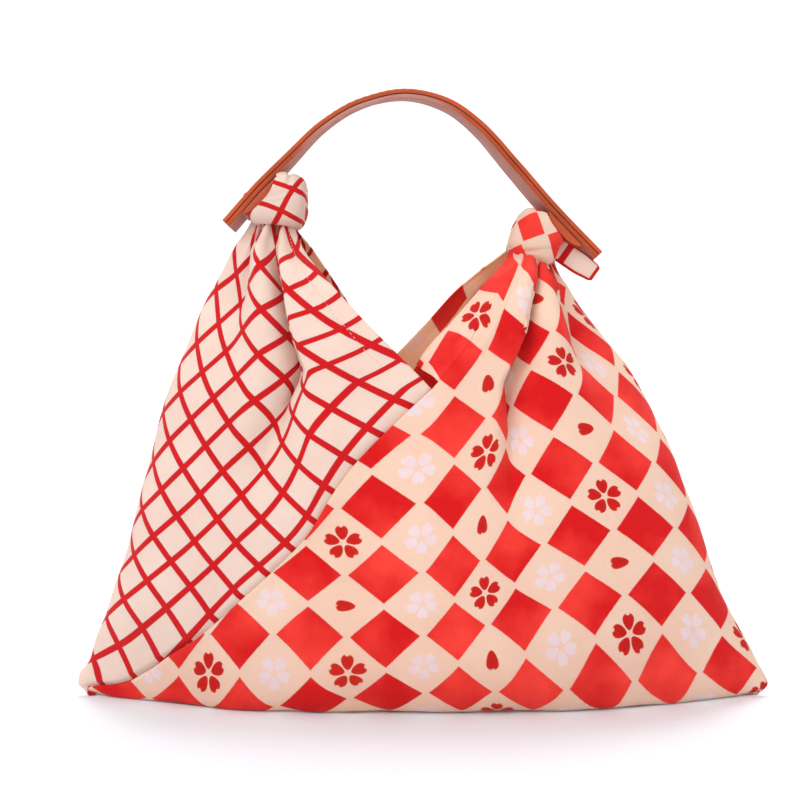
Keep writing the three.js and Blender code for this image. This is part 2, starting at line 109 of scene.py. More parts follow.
LEFT_BACK_HEM = table(
    "q x z depth turn",
    (H, -20, 166, 45, 0), (207, -39, 199, 33, 4), (216, -46, 209.7, 28, 12),
    (232, -56, 224, 20, 42), (250, -63.5, 234, 12, 70), (258, -66, 242, 9, 72),
)
RIGHT_FRONT_CREASE = table(
    "q x z depth turn",
    (H, 3.2, 152.4, 45, 0), (193.5, 18.3, 170.4, 45, 0), (210, 29.4, 189.7, 40, 3),
    (225, 39.6, 206.5, 31, 14), (234, 45, 215.5, 22, 30), (240, 48.7, 222.7, 14, 50),
    (248, 52, 230, 10, 55),
)
RIGHT_BACK_HEM = table(
    "q x z depth turn",
    (H, -20, 166, 45, 0), (201, 3.4, 190, 38, 0), (216, 17.5, 205, 31.5, 6),
    (232, 33.5, 217.6, 23, 28), (240, 44, 225, 12.5, 62), (248, 50, 231, 9, 65),
)
FACING_HEM = table(
    "q x y z",
    (H, -9, -36, 156), (193.5, 1.6, -34, 172.3), (210, 12, -30, 183.7),
    (225, 25.8, -24, 199.5), (240, 41, -13, 219), (248, 47, -9, 229),
)
FRONT_SEAM = table(
    "q right",
    (0, 0), (5, 0), (18, 6), (37, 11), (50, 18), (70, 22), (100, 18), (125, 12), (150, 7), (H, 0),
)
VALLEYS = table(
    "quarter end cloth_neck cloth_end seen_neck seen_end neck deep",
    ("left front", 160, 0.37, 0.33, 0.35, 0.3, 6.5, 9),
    ("left front", 98, 0.72, 0.52, 0.65, 0.46, 9, 19),
    ("left back", 120, 0.34, 0.3, 0.34, 0.32, 6.5, 10),
    ("left back", 150, 0.68, 0.6, 0.67, 0.6, 6.5, 9),
    ("right front", 114, 0.36, 0.26, 0.4, 0.26, 6.5, 12.5),
    ("right front", 94, 0.64, 0.7, 0.67, 0.75, 7.5, 15.5),
    ("right back", 120, 0.32, 0.34, 0.33, 0.35, 6.5, 11),
    ("right back", 140, 0.66, 0.62, 0.66, 0.62, 6.5, 9),
)
print(len(VALLEYS), "valleys between the crests")

# %% [markdown]
# ## A smooth line through a table
# Straight lines between the rows would leave corners in the cloth, and a plain
# spline would swing past the rows. A monotone cubic does neither.

# %% Smooth line
def mix(a, b, share):
    return a + (b - a) * share


def smooth(share):
    s = np.clip(share, 0, 1)
    return s * s * (3 - 2 * s)


def track(rows, column):
    q = [row["q"] for row in rows]
    v = [row[column] for row in rows]
    slope = [(v[i + 1] - v[i]) / (q[i + 1] - q[i]) for i in range(len(q) - 1)]
    bend = [slope[0]]
    for before, after in zip(slope, slope[1:]):
        bend.append(0 if before * after <= 0 else 2 * before * after / (before + after))
    bend.append(slope[-1])

    def at(place):
        i = min(max(sum(place > k for k in q[1:-1]), 0), len(q) - 2)
        step = q[i + 1] - q[i]
        s = min(max((place - q[i]) / step, 0), 1)
        return (
            v[i] * (2 * s**3 - 3 * s**2 + 1) + v[i + 1] * (3 * s**2 - 2 * s**3)
            + step * (bend[i] * (s**3 - 2 * s**2 + s) + bend[i + 1] * (s**3 - s**2))
        )

    return at


def tracks(rows):
    return {column: track(rows, column) for column in rows[0] if column != "q"}


print("left side fold at q = 100:", round(track(LEFT_SIDE, "x")(100), 1), "mm from the middle")

# %% [markdown]
# ## The wall
# The bag is four quarters of wall, each from a side fold round to the middle
# or, above the V, to a free edge. `hand` is 1 on the left, `out` -1 in front.
# A quarter's smooth outline is a superellipse, laid at each height q.

# %% Quarters
def quarter(name, hem):
    """The lines of one quarter, from its name and the table of its free edge."""
    left, front = name.startswith("left"), name.endswith("front")
    return {
        "side": tracks(LEFT_SIDE if left else RIGHT_SIDE),
        "middle": tracks(FRONT_MIDDLE if front else BACK_MIDDLE),
        "hem": tracks(hem),
        "neck": LEFT_NECK if left else RIGHT_NECK,
        "hand": 1 if left else -1,
        "out": -1 if front else 1,
        "valleys": [valley for valley in VALLEYS if valley["quarter"] == name],
    }


LEFT_FRONT = quarter("left front", LEFT_FRONT_HEM)
LEFT_BACK = quarter("left back", LEFT_BACK_HEM)
RIGHT_FRONT = quarter("right front", RIGHT_FRONT_CREASE)
RIGHT_BACK = quarter("right back", RIGHT_BACK_HEM)
OUTLINE_STEPS = 160
TIP_SHARE, TIP_HIGH = 0.08, 75.0  # the share that lifts to the fold at the base; all from here, mm


def signed_power(value, power):
    return np.sign(value) * np.abs(value) ** power


def quarter_cloth(q):
    """How much cloth lies between the side fold and the middle or free edge."""
    return H if q < H else 2 * H - q


def run_along(points):
    """How far along a line each of its points lies."""
    steps = np.linalg.norm(np.diff(points, axis=0), axis=1)
    return np.concatenate([[0], np.cumsum(steps)])


def outline(wall, q):
    end = wall["middle"] if q < H else wall["hem"]
    side_x, side_z = wall["side"]["x"](q), wall["side"]["z"](q)
    power = 2 / wall["side"]["power"](q)
    sweep = math.pi / 2 + (math.radians(wall["hem"]["turn"](q)) if q >= H else 0)
    half = (end["x"](q) - side_x) / (1 - signed_power(math.cos(sweep), power))
    angle = sweep * np.linspace(0, 1, OUTLINE_STEPS + 1)
    across = half * (1 - signed_power(np.cos(angle), power))
    lifted = mix(TIP_SHARE, 1, smooth(q / TIP_HIGH))
    height = mix(side_z, end["z"](q), smooth(np.abs(across / (end["x"](q) - side_x)) / lifted))
    depth = wall["out"] * end["depth"](q) * signed_power(np.sin(angle), power)
    places = np.stack([side_x + across, depth, height], axis=1)
    return places, run_along(places)


print("left front at q = 100:", round(float(outline(LEFT_FRONT, 100)[1][-1])), "mm of cloth")

# %% [markdown]
# ## The folds
# A knot gathers its corner into a few crests with valleys between. The cloth
# keeps its width across a fold, so a valley takes a larger share of the cloth
# than of the outline. Lower down each valley grows shallow and dies away.

# %% Folds
CREST_BEFORE_HEM = 0.42  # where the last crest stands between the last valley and the edge
CREST_SEEN, CREST_DEEP = 0.5, 10.0  # it is seen at half that beside a valley of 10 mm
DEEPEST = 0.7  # how far up its run a valley is deepest


def folds(wall, q):
    """Crests and valleys at height q, each its share of cloth, of outline, and depth."""
    keys = [(0.0, 0.0, 0.0)]
    for valley in wall["valleys"]:
        rise = min(max((q - valley["end"]) / (wall["neck"] - valley["end"]), 0), 1)
        cloth = mix(valley["cloth_end"], valley["cloth_neck"], rise)
        seen = mix(valley["seen_end"], valley["seen_neck"], rise)
        depth = mix(valley["deep"] * smooth(rise / DEEPEST), valley["neck"],
                    smooth((rise - DEEPEST) / (1 - DEEPEST)))
        if len(keys) > 1:
            keys.append(((keys[-1][0] + cloth) / 2, (keys[-1][1] + seen) / 2, 0.0))
        keys.append((cloth, seen, depth))
    cloth, seen, depth = keys[-1]
    crest = CREST_BEFORE_HEM * mix(1, CREST_SEEN, depth / CREST_DEEP)
    keys.append((mix(cloth, 1, CREST_BEFORE_HEM), mix(seen, 1, crest), 0.0))
    keys.append((1.0, 1.0, 0.0))
    even = smooth(q / EVEN_BELOW)
    return [(cloth, mix(cloth, seen, even), depth) for cloth, seen, depth in keys]


print("folds at the left neck", [round(float(key[2]), 1) for key in folds(LEFT_FRONT, LEFT_NECK)])

# %% [markdown]
# ## A row of the wall
# A row takes shares of the quarter's cloth and finds where they lie: along the
# outline as far as the folds say, then in from it by the depth of its valley.

# %% Wall rows
BESIDE_A_PLACE = 0.02  # share of a quarter, each way, that shows the wall's direction


def wall_row(wall, q, cloth):
    """Places on the wall at height q, for shares of the quarter's cloth."""
    places, lengths = outline(wall, q)
    keys = folds(wall, q)
    cloth = np.asarray(cloth, float)
    seen, sunk = np.zeros_like(cloth), np.zeros_like(cloth)
    for i, (a, b) in enumerate(zip(keys, keys[1:])):
        low = -1e9 if i == 0 else a[0]
        high = 1e9 if i == len(keys) - 2 else b[0]
        here = (cloth > low) & (cloth <= high)
        share = np.clip((cloth[here] - a[0]) / (b[0] - a[0]), 0, 1)
        depth, width = max(a[2], b[2]), (b[1] - a[1]) * lengths[-1]
        steep = min(depth / width, 1)
        down = share if a[2] < b[2] else 1 - share
        moved = mix(down, np.sin(down * math.pi / 2), steep)
        sunk[here] = depth * mix(smooth(down), 1 - np.cos(down * math.pi / 2), steep / 2)
        seen[here] = mix(a[1], b[1], moved if a[2] < b[2] else 1 - moved)

    def along(where):
        wanted = np.clip(where, 0, 1) * lengths[-1]
        return np.stack([np.interp(wanted, lengths, places[:, k]) for k in range(3)], axis=-1)

    tangent = along(seen + BESIDE_A_PLACE) - along(seen - BESIDE_A_PLACE)
    inwards = np.stack([-tangent[:, 1], tangent[:, 0], 0 * seen], axis=-1)
    inwards /= np.maximum(np.linalg.norm(inwards, axis=1), 1e-9)[:, None]
    return along(seen) + inwards * (-wall["out"] * wall["hand"] * sunk)[:, None]


print("the V's height at the middle", wall_row(LEFT_FRONT, H, [1.0]).round(1)[0, 2], "mm")

# %% [markdown]
# ## The print's place on the cloth
# The grid print is two families of red lines, and the check print is a lattice
# of cells. A place on the cloth is counted in lines or cells, so the material
# only has to look at whole numbers. `pitch` is the distance between lines,
# `turn` their direction, and `bow` how far woven and washed cloth lets them
# curve: across, on the diagonal and upwards, in lines to each 100 mm squared.

# %% Print counts
FAMILIES = table(
    "name p q start pitch turn bow",
    ("falling", -90, 110, -0.38, 17.6, 56, (-0.5, 0.4, 0.3)),
    ("rising", -90, 110, -0.13, 14.4, 137.5, (-1.5, 1, -0.8)),
    ("column", 0, 0, 2.92, 34.5, 2.8, (0, 0, 0)),
    ("row", 0, 0, 6.3, 25, -89, (-0.45, 0.35, 0.2)),
)


def count_lines(family, p, q):
    x, y = (p - family["p"]) / 100, (q - family["q"]) / 100
    high = (np.maximum(q, 0) - family["q"]) / 100
    turn = math.radians(family["turn"])
    across, both, up = family["bow"]
    straight = (x * math.cos(turn) + y * math.sin(turn)) * 100 / family["pitch"]
    return family["start"] + straight + across * x * x + both * x * y + up * high * high


GRID_LINES, CHECK_LINES = FAMILIES[:2], FAMILIES[2:]


def grid_count(p, q):
    return np.stack([count_lines(family, p, q) for family in GRID_LINES], axis=-1)


def check_count(p, q):
    return np.stack([count_lines(family, p, q) for family in CHECK_LINES], axis=-1)


print("print families", [family["name"] for family in FAMILIES])

# %% [markdown]
# ## The print past a fold
# The print runs on round a side fold without a break, and behind it soon comes
# straight. The bottom square turns up behind the bag, so there the count of
# its rows runs the other way.

# %% Print past a fold
STRAIGHTEN = 40.0  # mm past a side fold in which a bowed print comes straight
FOLD_STEP = 8.0  # mm before the fold over which the print's slope is taken


def count_past_fold(count, families, fold, p, q):
    """Past a side fold at p = fold the print runs on, and soon runs straight."""
    edge = count(0 * p + fold, q)
    before = count(0 * p + fold - math.copysign(FOLD_STEP, fold), q)
    bowed = (edge - before) / FOLD_STEP
    straight = [math.cos(math.radians(f["turn"])) / f["pitch"] for f in families]
    straight = math.copysign(1, fold) * np.array(straight)
    past = np.abs(p - fold)[..., None]
    bend = STRAIGHTEN * (1 - np.exp(-past / STRAIGHTEN))
    return edge + straight * past + (bowed - straight) * bend


def grid_round(p, q):
    return count_past_fold(grid_count, GRID_LINES, -H, p, q)


def check_round(p, q):
    return count_past_fold(check_count, CHECK_LINES, H, p, q)


def check_under(p, q):
    """Behind, the bottom square of the strip turns up under the bag."""
    return check_count(p, -q)


print("lines at the left fold", grid_round(np.array([-H]), np.array([100.0])).round(2)[0])

# %% [markdown]
# ## Swells, pleats and hems
# Cotton is never as smooth as a table of numbers. Broad, shallow swells run
# over the walls, short pleats crowd together where a knot takes the cloth, and
# a double hem stands a little proud along each free edge. All of them move a
# place along the wall's own normal. Blender's noise is the same on each run.

# %% Wrinkles
SWELL, SWELL_WIDE, RIPPLE, RIPPLE_WIDE = 1.2, 36, 0.35, 14  # mm; a ripple is a share of a swell
PLEATS, PLEAT_DEEP, PLEAT_LEAN = 6.5, 0.8, 30.0  # to a quarter, mm, mm of height to a radian
PLEATS_LONG = 70.0  # mm under a knot in which the pleats deepen
CALM_LOW, CALM_FOLD, CALM_EDGE = 34.0, 0.07, 0.06  # quiet base, mm, and quiet folds and edges
HEM_WIDE, HEM_HIGH, HEM_STEP, HEM_START = 8.0, 0.45, 0.8, 12.0  # mm
LEFT_KNOT, RIGHT_KNOT = (-72.4, 0.5, 246.5), (56.2, 0.5, 227.8)  # the knots' middles, mm
GATHER, GATHER_HIGH = 0.26, 13.0  # share drawn in, over this much cloth in mm
GATHER_WAY = np.array([0.3, 1, 0])  # mostly from the front and the back


def outward_normals(places, wall):
    """Normals of a grid of places, all turned out of the bag."""
    normal = np.cross(np.gradient(places, axis=1), np.gradient(places, axis=0))
    normal /= np.maximum(np.linalg.norm(normal, axis=2), 1e-9)[..., None]
    return normal * np.sign(normal[..., 1:2] * wall["out"] + 1e-9)


def swell(places):
    def at(size, shift):
        flat = [noise.noise(Vector(place) / size + shift) for place in places.reshape(-1, 3)]
        return np.array(flat).reshape(places.shape[:2])

    broad, fine = at(SWELL_WIDE, Vector((5, 0, 0))), at(RIPPLE_WIDE, Vector((0, 9, 0)))
    return broad + RIPPLE * fine


def ease(places, times):
    """Relaxes a grid of places, keeping its edges."""
    for _ in range(times):
        around = places[:-2, 1:-1] + places[2:, 1:-1] + places[1:-1, :-2] + places[1:-1, 2:]
        places[1:-1, 1:-1] = mix(places[1:-1, 1:-1], around / 4, 0.5)
    return places


def gather(places, q, wall):
    """Draws the last of the cloth in towards the middle of its knot."""
    knot = np.array(LEFT_KNOT if wall["hand"] > 0 else RIGHT_KNOT)
    tight = GATHER * smooth((q - wall["neck"] + GATHER_HIGH) / GATHER_HIGH)[..., None]
    return places + (knot - places) * tight * GATHER_WAY


def wrinkle(places, q, share, hem, wall):
    """`hem` is the distance to a free edge in mm, or far off where there is none."""
    calm = smooth(q / CALM_LOW) * smooth(share / CALM_FOLD) * smooth((1 - share) / CALM_EDGE)
    neck = smooth((q - wall["neck"] + PLEATS_LONG) / PLEATS_LONG)
    pleat = np.sin(2 * math.pi * PLEATS * share + 3 * wall["hand"] + q / PLEAT_LEAN)
    move = (SWELL * swell(places) * (1 - 0.5 * neck) + PLEAT_DEEP * pleat * neck**2) * calm
    move += HEM_HIGH * smooth((HEM_WIDE - hem) / HEM_STEP) * smooth((q - H) / HEM_START)
    return places + outward_normals(places, wall) * move[..., None]


print("hem", HEM_WIDE, "mm wide")

# %% [markdown]
# ## How far each cloth reaches
# The grid square runs on a little under the check's edge, and there it lies
# lower, so that one cloth laps over the other as it does when the strip is
# folded and seamed. These helpers say how far each row of cloth reaches.

# %% Reach
LAP, SINK, RAISE = 6.0, 1.3, 0.5  # how far the lower cloth runs on, and the lap's step, mm
STEP_WIDE, STEP_ENDS, STEP_PAST_V = 4.0, 10.0, 6.0  # the step's width and its run-out, mm
LAP_LOW, LAP_HIGH = 12.0, 14.0  # how soon the lap is full above the base and under the V, mm
TIP = 2.0  # the check stops short of the left corner's tip by this much, mm
seam_right = track(FRONT_SEAM, "right")


def rows_to(top):
    """Heights of the rows, with one just at the V."""
    low = np.linspace(0, 60, 31)
    middle = np.linspace(60, 163, 46)[1:]
    crotch = np.linspace(163, H, 8)[1:]
    return np.concatenate([low, middle, crotch, np.linspace(H, top, 44)[1:]])


def shift(wall, q):
    return seam_right(q) if wall["out"] < 0 and q < H else 0


def grid_widths(wall, q):
    """How far the cloth reaches from its side fold, and where the seam crosses it."""
    seam = q + shift(wall, q)
    lap = LAP * min((q + STEP_WIDE) / LAP_LOW, 1, (H - q) / LAP_HIGH)
    return (seam + lap, seam) if q < H else (2 * H - q, 2 * H - q)


def check_widths(wall, q):
    seam = 2 * H - max(q, TIP) - shift(wall, q)
    return seam, seam


def even(columns):
    return lambda q: np.linspace(0, 1, columns)


def split_at_corner(beside, under):
    """Behind, one column of the check stands on the seam between its two squares."""
    def shares(q):
        corner = q / (2 * H - q) if q < H else 1
        return np.concatenate([corner * np.linspace(0, 1, beside),
                               mix(corner, 1, np.linspace(0, 1, under))])
    return shares


print("rows up the grid square", len(rows_to(LEFT_NECK)))

# %% [markdown]
# ## A face of cloth
# Each face is a grid of places, row by row up the bag. It is eased, so that no
# row jumps from the next, drawn in towards its knot, and wrinkled. A row that
# runs past the middle goes on over the quarter `beyond` it.

# %% Faces
EASED = 3  # times


def face(wall, beyond, heights, shares, widths, count, step):
    fold, side = -H * wall["hand"], wall["hand"]
    share = np.array([shares(height) for height in heights])
    q = heights[:, None] + 0 * share
    reach = np.array([widths(wall, height) for height in heights])
    width, past_seam = reach[:, :1] * share, reach[:, :1] * share - reach[:, 1:]
    rows = []
    for height, across in zip(heights, width):
        cloth = across / quarter_cloth(height)
        row = wall_row(wall, height, np.minimum(cloth, 1))
        if beyond is not None and cloth[-1] > 1:
            row[cloth > 1] = wall_row(beyond, height, 2 - cloth[cloth > 1])
        rows.append(row)
    p = fold + side * width
    eased = ease(np.concatenate([np.array(rows), p[..., None], q[..., None]], axis=2), EASED)
    places, p, q = gather(eased[..., :3], q, wall), eased[..., 3], eased[..., 4]
    hem = np.where(q < H, 1e3, (1 - share) * reach[:, :1] / math.sqrt(2))
    places = wrinkle(places, q, share, hem, wall)
    below = smooth((q + STEP_WIDE) / STEP_ENDS) * smooth((H + STEP_PAST_V - q) / STEP_ENDS)
    lapped = smooth((past_seam + STEP_WIDE) / STEP_WIDE) * below
    places = places + outward_normals(places, wall) * (step * lapped)[..., None]
    places[..., 2] = np.maximum(places[..., 2], 0)
    return {"places": places, "print": count(p, q), "hem": hem, "p": p, "q": q,
            "flip": wall["hand"] * wall["out"] > 0}


def part_of(cloth, rows, columns, count):
    """Some rows and columns of a face, with another print."""
    part = {key: value[rows, columns] for key, value in cloth.items() if key != "flip"}
    return {**part, "print": count(part["p"], part["q"]), "flip": cloth["flip"]}


print("each face is eased", EASED, "times")

# %% [markdown]
# ## From grids to a sheet
# The grids are joined where they meet, so each cloth is one sheet. Its print is
# kept as a UV map, and a Solidify modifier gives it its thickness.

# %% Joining
CLOTH_THICK = 0.9  # mm


def add_object(name, data):
    made = bpy.data.objects.new(name, data)
    bpy.context.scene.collection.objects.link(made)
    return made


def sheet_of(name, faces):
    """Joins grids of places into one sheet, with its print as UV."""
    mesh = bmesh.new()
    uv = mesh.loops.layers.uv.new("print")
    for grid in faces:
        rows, columns = grid["places"].shape[:2]
        points = [[mesh.verts.new(Vector(place) * MM) for place in row] for row in grid["places"]]
        for i in range(rows - 1):
            for j in range(columns - 1):
                corners = [(i, j), (i, j + 1), (i + 1, j + 1), (i + 1, j)]
                if grid["flip"]:
                    corners.reverse()
                made = mesh.faces.new([points[a][b] for a, b in corners])
                made.smooth = True
                for loop, corner in zip(made.loops, corners):
                    loop[uv].uv = grid["print"][corner]
    bmesh.ops.remove_doubles(mesh, verts=mesh.verts, dist=0.02 * MM)
    bmesh.ops.dissolve_degenerate(mesh, edges=mesh.edges, dist=0.01 * MM)
    return cloth_piece(name, mesh, 1)


def cloth_piece(name, mesh, blossoms):
    """A piece from a bmesh; `blossoms` is 0 where the print shows none."""
    layer = mesh.verts.layers.float.new("blossoms")
    for vertex in mesh.verts:
        vertex[layer] = blossoms
    data = bpy.data.meshes.new(name)
    mesh.to_mesh(data)
    mesh.free()
    piece = add_object(name, data)
    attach(piece, "root")
    print(name, len(data.polygons), "faces")
    return piece


def thicken(piece, thick):
    layer = piece.modifiers.new("cloth", "SOLIDIFY")
    layer.thickness, layer.offset, layer.use_even_offset = thick * MM, -1, False


print("cloth", CLOTH_THICK, "mm thick")

# %% [markdown] ## The two cloths The grid square makes the left side of the
# bag.

# %% Two cloths
FACING_WIDE, FACING_COLUMNS = 21.0, 14  # mm, columns
grid_rows, check_rows = rows_to(LEFT_NECK + 5), rows_to(RIGHT_NECK + 5)


def facing_face():
    """The edge turned in above the V, from its crease to its hem."""
    hem = tracks(FACING_HEM)
    heights = check_rows[check_rows >= FACING_START]
    share = np.linspace(0, 1, FACING_COLUMNS)
    full = smooth((heights - FACING_START) / (FACING_FULL - FACING_START))[:, None]
    crease = np.array([wall_row(RIGHT_FRONT, q, [1.0])[0] for q in heights])[:, None, :]
    edge = np.array([[hem["x"](q), hem["y"](q), hem["z"](q)] for q in heights])[:, None, :]
    places = mix(crease, edge, (share[None, :] * full)[..., None])
    p = (heights[:, None] - H) - FACING_WIDE * share[None, :] * full
    q = heights[:, None] + 0 * p
    return {"places": gather(places, q, RIGHT_FRONT), "print": check_count(p, q),
            "flip": RIGHT_FRONT["hand"] * RIGHT_FRONT["out"] > 0}


grid_cloth = sheet_of("grid_cloth", [
    face(LEFT_FRONT, None, grid_rows, even(110), grid_widths, grid_count, -SINK),
    face(LEFT_BACK, None, grid_rows, even(90), grid_widths, grid_round, -SINK),
])
BESIDE, UNDER = 80, 80  # columns of the right square and of the bottom one, behind
check_front = face(RIGHT_FRONT, LEFT_FRONT, check_rows, even(150),
                   check_widths, check_count, RAISE)
check_back = face(RIGHT_BACK, LEFT_BACK, check_rows, split_at_corner(BESIDE, UNDER),
                  check_widths, check_round, RAISE)
up_to_v = slice(0, int(np.sum(check_rows <= H)))
check_cloth = sheet_of("check_cloth", [
    check_front,
    part_of(check_back, slice(None), slice(0, BESIDE), check_round),
    part_of(check_back, up_to_v, slice(BESIDE, None), check_under),
    facing_face(),
])
for cloth, node in ((grid_cloth, "grid_square"), (check_cloth, "check_length")):
    thicken(cloth, CLOTH_THICK)
    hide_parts(node)

# %% [markdown]
# ## The handle's line
# The handle is held at its top, so it bends in a bow that no circle gives. Its
# line is a smooth curve through the places where the leather hangs, and `roll`
# tips its front edge up, so that a little of the underside shows.

# %% Handle line
STRAP_WIDE, LAYER, LAYER_GAP = 22.0, 2.1, 0.35  # mm
STRAP_LINE = table(
    "x z roll",
    (-98.7, 235.6, 0), (-84.5, 251.8, 0), (-67.9, 269.4, 5), (-51.7, 285.6, 10),
    (-32.6, 297.3, 13), (-9.1, 302.2, 10), (12.5, 296.9, 5), (28.7, 285.1, 0),
    (46.8, 264.5, -2), (64.5, 243.9, -2), (87.5, 219.9, -2),
)


def smooth_line(points, steps=24):
    """A centripetal Catmull-Rom curve through points, as many short steps."""
    points = [np.array(p, float) for p in points]
    points = [2 * points[0] - points[1], *points, 2 * points[-1] - points[-2]]
    line = []
    for a, b, c, d in zip(points, points[1:], points[2:], points[3:]):
        chords = [math.sqrt(np.linalg.norm(v - u)) for u, v in ((a, b), (b, c), (c, d))]
        t = np.cumsum([0, *chords])
        for at in np.linspace(t[1], t[2], steps, endpoint=False):
            def blend(u, v, i, j):
                return ((t[j] - at) * u + (at - t[i]) * v) / (t[j] - t[i])

            first, second, third = blend(a, b, 0, 1), blend(b, c, 1, 2), blend(c, d, 2, 3)
            line.append(blend(blend(first, second, 0, 2), blend(second, third, 1, 3), 1, 2))
    return np.array([*line, points[-2]])


strap_line = smooth_line([(row["x"], row["z"]) for row in STRAP_LINE])
strap_run = run_along(strap_line)
STRAP_LENGTH = float(strap_run[-1])
strap_roll = np.interp(
    strap_run / STRAP_LENGTH * (len(STRAP_LINE) - 1),
    range(len(STRAP_LINE)), [row["roll"] for row in STRAP_LINE],
)
print("handle", round(STRAP_LENGTH, 1), "mm long")

# %% [markdown]
# ## Bending by a curve
# Each leather piece is modelled flat, with x along the handle, and then bent by
# a Curve modifier. Flat work is easy to measure, and every layer, tab and
# stitch follows the same line. The curve's tilt gives the roll.

# %% Bending
def bending_curve():
    data = bpy.data.curves.new("handle_line", "CURVE")
    data.dimensions, data.twist_mode = "3D", "Z_UP"
    spline = data.splines.new("POLY")
    spline.points.add(len(strap_line) - 1)
    for point, (x, z), roll in zip(spline.points, strap_line, strap_roll):
        point.co, point.tilt = (x * MM, 0, z * MM, 1), math.radians(roll)
    return add_object("handle_line", data)


handle_line = bending_curve()
print("bending curve", len(strap_line), "points")

# %% [markdown]
# ## Working in edit mode
# An operator acts on all that is selected. These helpers deselect everything,
# start a piece as a block, pick its edges and points by their place, and cut
# it across, as a hand in edit mode would.

# %% Edit helpers
def deselect():
    if bpy.context.object and bpy.context.object.mode != "OBJECT":
        bpy.ops.object.mode_set(mode="OBJECT")
    bpy.ops.object.select_all(action="DESELECT")


def make_active(piece):
    deselect()
    piece.select_set(True)
    bpy.context.view_layer.objects.active = piece


def apply_modifier(piece, kind, **settings):
    make_active(piece)
    modifier = piece.modifiers.new(kind, kind)
    for name, value in settings.items():
        setattr(modifier, name, value)
    bpy.ops.object.modifier_apply(modifier=modifier.name)


def block(name, low, high):
    """A box between two corners in mm, in edit mode, with nothing selected."""
    deselect()
    bpy.ops.mesh.primitive_cube_add(size=1)
    piece = bpy.context.object
    piece.name = piece.data.name = name
    low, high = np.array(low, float), np.array(high, float)
    for vertex in piece.data.vertices:
        vertex.co = Vector((low + (np.array(vertex.co) + 0.5) * (high - low)) * MM)
    bpy.ops.object.mode_set(mode="EDIT")
    bpy.ops.mesh.select_all(action="DESELECT")
    return piece


def pick_edges(piece, wanted):
    """Selects the edges whose two ends, in mm, pass the test."""
    mesh = bmesh.from_edit_mesh(piece.data)
    bpy.ops.mesh.select_mode(type="EDGE")
    bpy.ops.mesh.select_all(action="DESELECT")
    chosen = [e for e in mesh.edges if wanted(*(v.co / MM for v in e.verts))]
    for edge in chosen:
        edge.select_set(True)
    bmesh.update_edit_mesh(piece.data)
    return len(chosen)


def pick_points(piece, wanted):
    mesh = bmesh.from_edit_mesh(piece.data)
    bpy.ops.mesh.select_mode(type="VERT")
    bpy.ops.mesh.select_all(action="DESELECT")
    for vertex in mesh.verts:
        if wanted(vertex.co / MM):
            vertex.select_set(True)
    bmesh.update_edit_mesh(piece.data)


def cut_across(piece, place, normal):
    bpy.ops.mesh.select_all(action="SELECT")
    bpy.ops.mesh.bisect(plane_co=Vector(place) * MM, plane_no=normal)


def cut_lengths(piece, start, long, count):
    for i in range(1, count):
        cut_across(piece, (start + long * i / count, 0, 0), (1, 0, 0))


def same(a, b):
    """Equal but for rounding, in mm."""
    return abs(a - b) < 0.01


def bend(piece):
    """Bends a flat piece along the handle's line and makes it ride."""
    bpy.ops.object.mode_set(mode="OBJECT")
    apply_modifier(piece, "CURVE", object=handle_line, deform_axis="POS_X")
    make_active(piece)
    bpy.ops.object.shade_smooth_by_angle(angle=math.radians(35))
    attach(piece, "root")
    print(piece.name, len(piece.data.polygons), "faces")
    return piece


# %% [markdown]
# ## The two layers
# The strap is two layers of leather, glued and saddle-stitched. Each starts as
# a box. It is cut into short lengths so that it can bend, its long edges are
# bevelled as a maker bevels them, and two grooves are pressed in for the thread.

# %% Layers
BEVEL, GROOVE_IN, GROOVE_DEEP, GROOVE_HALF = 0.45, 3.2, 0.35, 0.45  # mm
LENGTHS = 110


def long_edge(wide, low, high):
    def wanted(a, b):
        return same(a.y, b.y) and same(a.z, b.z) and same(abs(a.y), wide) \
            and (same(a.z, low) or same(a.z, high))
    return wanted


def layer(name, top, grooved):
    half = STRAP_WIDE / 2
    piece = block(name, (0, -half, top - LAYER), (STRAP_LENGTH, half, top))
    cut_lengths(piece, 0, STRAP_LENGTH, LENGTHS)
    if grooved:
        for place in (half - GROOVE_IN, GROOVE_IN - half):
            for offset in (-GROOVE_HALF, 0, GROOVE_HALF):
                cut_across(piece, (0, place + offset, 0), (0, 1, 0))
        pick_points(piece, lambda v: abs(abs(v.y) - half + GROOVE_IN) < 0.05 and v.z > top - 0.1)
        bpy.ops.transform.translate(value=(0, 0, -GROOVE_DEEP * MM))
    pick_edges(piece, long_edge(half, top - LAYER, top))
    bpy.ops.mesh.bevel(offset=BEVEL * MM, segments=3)
    return bend(piece)


strap_upper = layer("strap_outer_layer", 0, True)
strap_under = layer("strap_under_layer", -LAYER - LAYER_GAP, False)
for piece, node, finish in ((strap_upper, "strap_upper", "leather"),
                            (strap_under, "strap_under", "leather_under")):
    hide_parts(node)

# %% [markdown]
# ## Glue line
# Between the layers shows a dark line of glue, a little way in from the edge.
# It fills the gap, so no light passes between the layers.

# %% Glue
GLUE_END, GLUE_IN, GLUE_SOAK = 1.0, 0.7, 0.1  # in from the ends and edges, into each layer, mm
glue_half = STRAP_WIDE / 2 - GLUE_IN
glue = block("strap_glue_line", (GLUE_END, -glue_half, -LAYER - LAYER_GAP - GLUE_SOAK),
             (STRAP_LENGTH - GLUE_END, glue_half, -LAYER + GLUE_SOAK))
cut_lengths(glue, 0, STRAP_LENGTH, LENGTHS)
bend(glue)

# %% [markdown]
# ## Keeper tabs
# A short tab holds each end of the strap to its knot. Its ends are skived, so
# it thins out to almost nothing, and it is thickest in the middle.

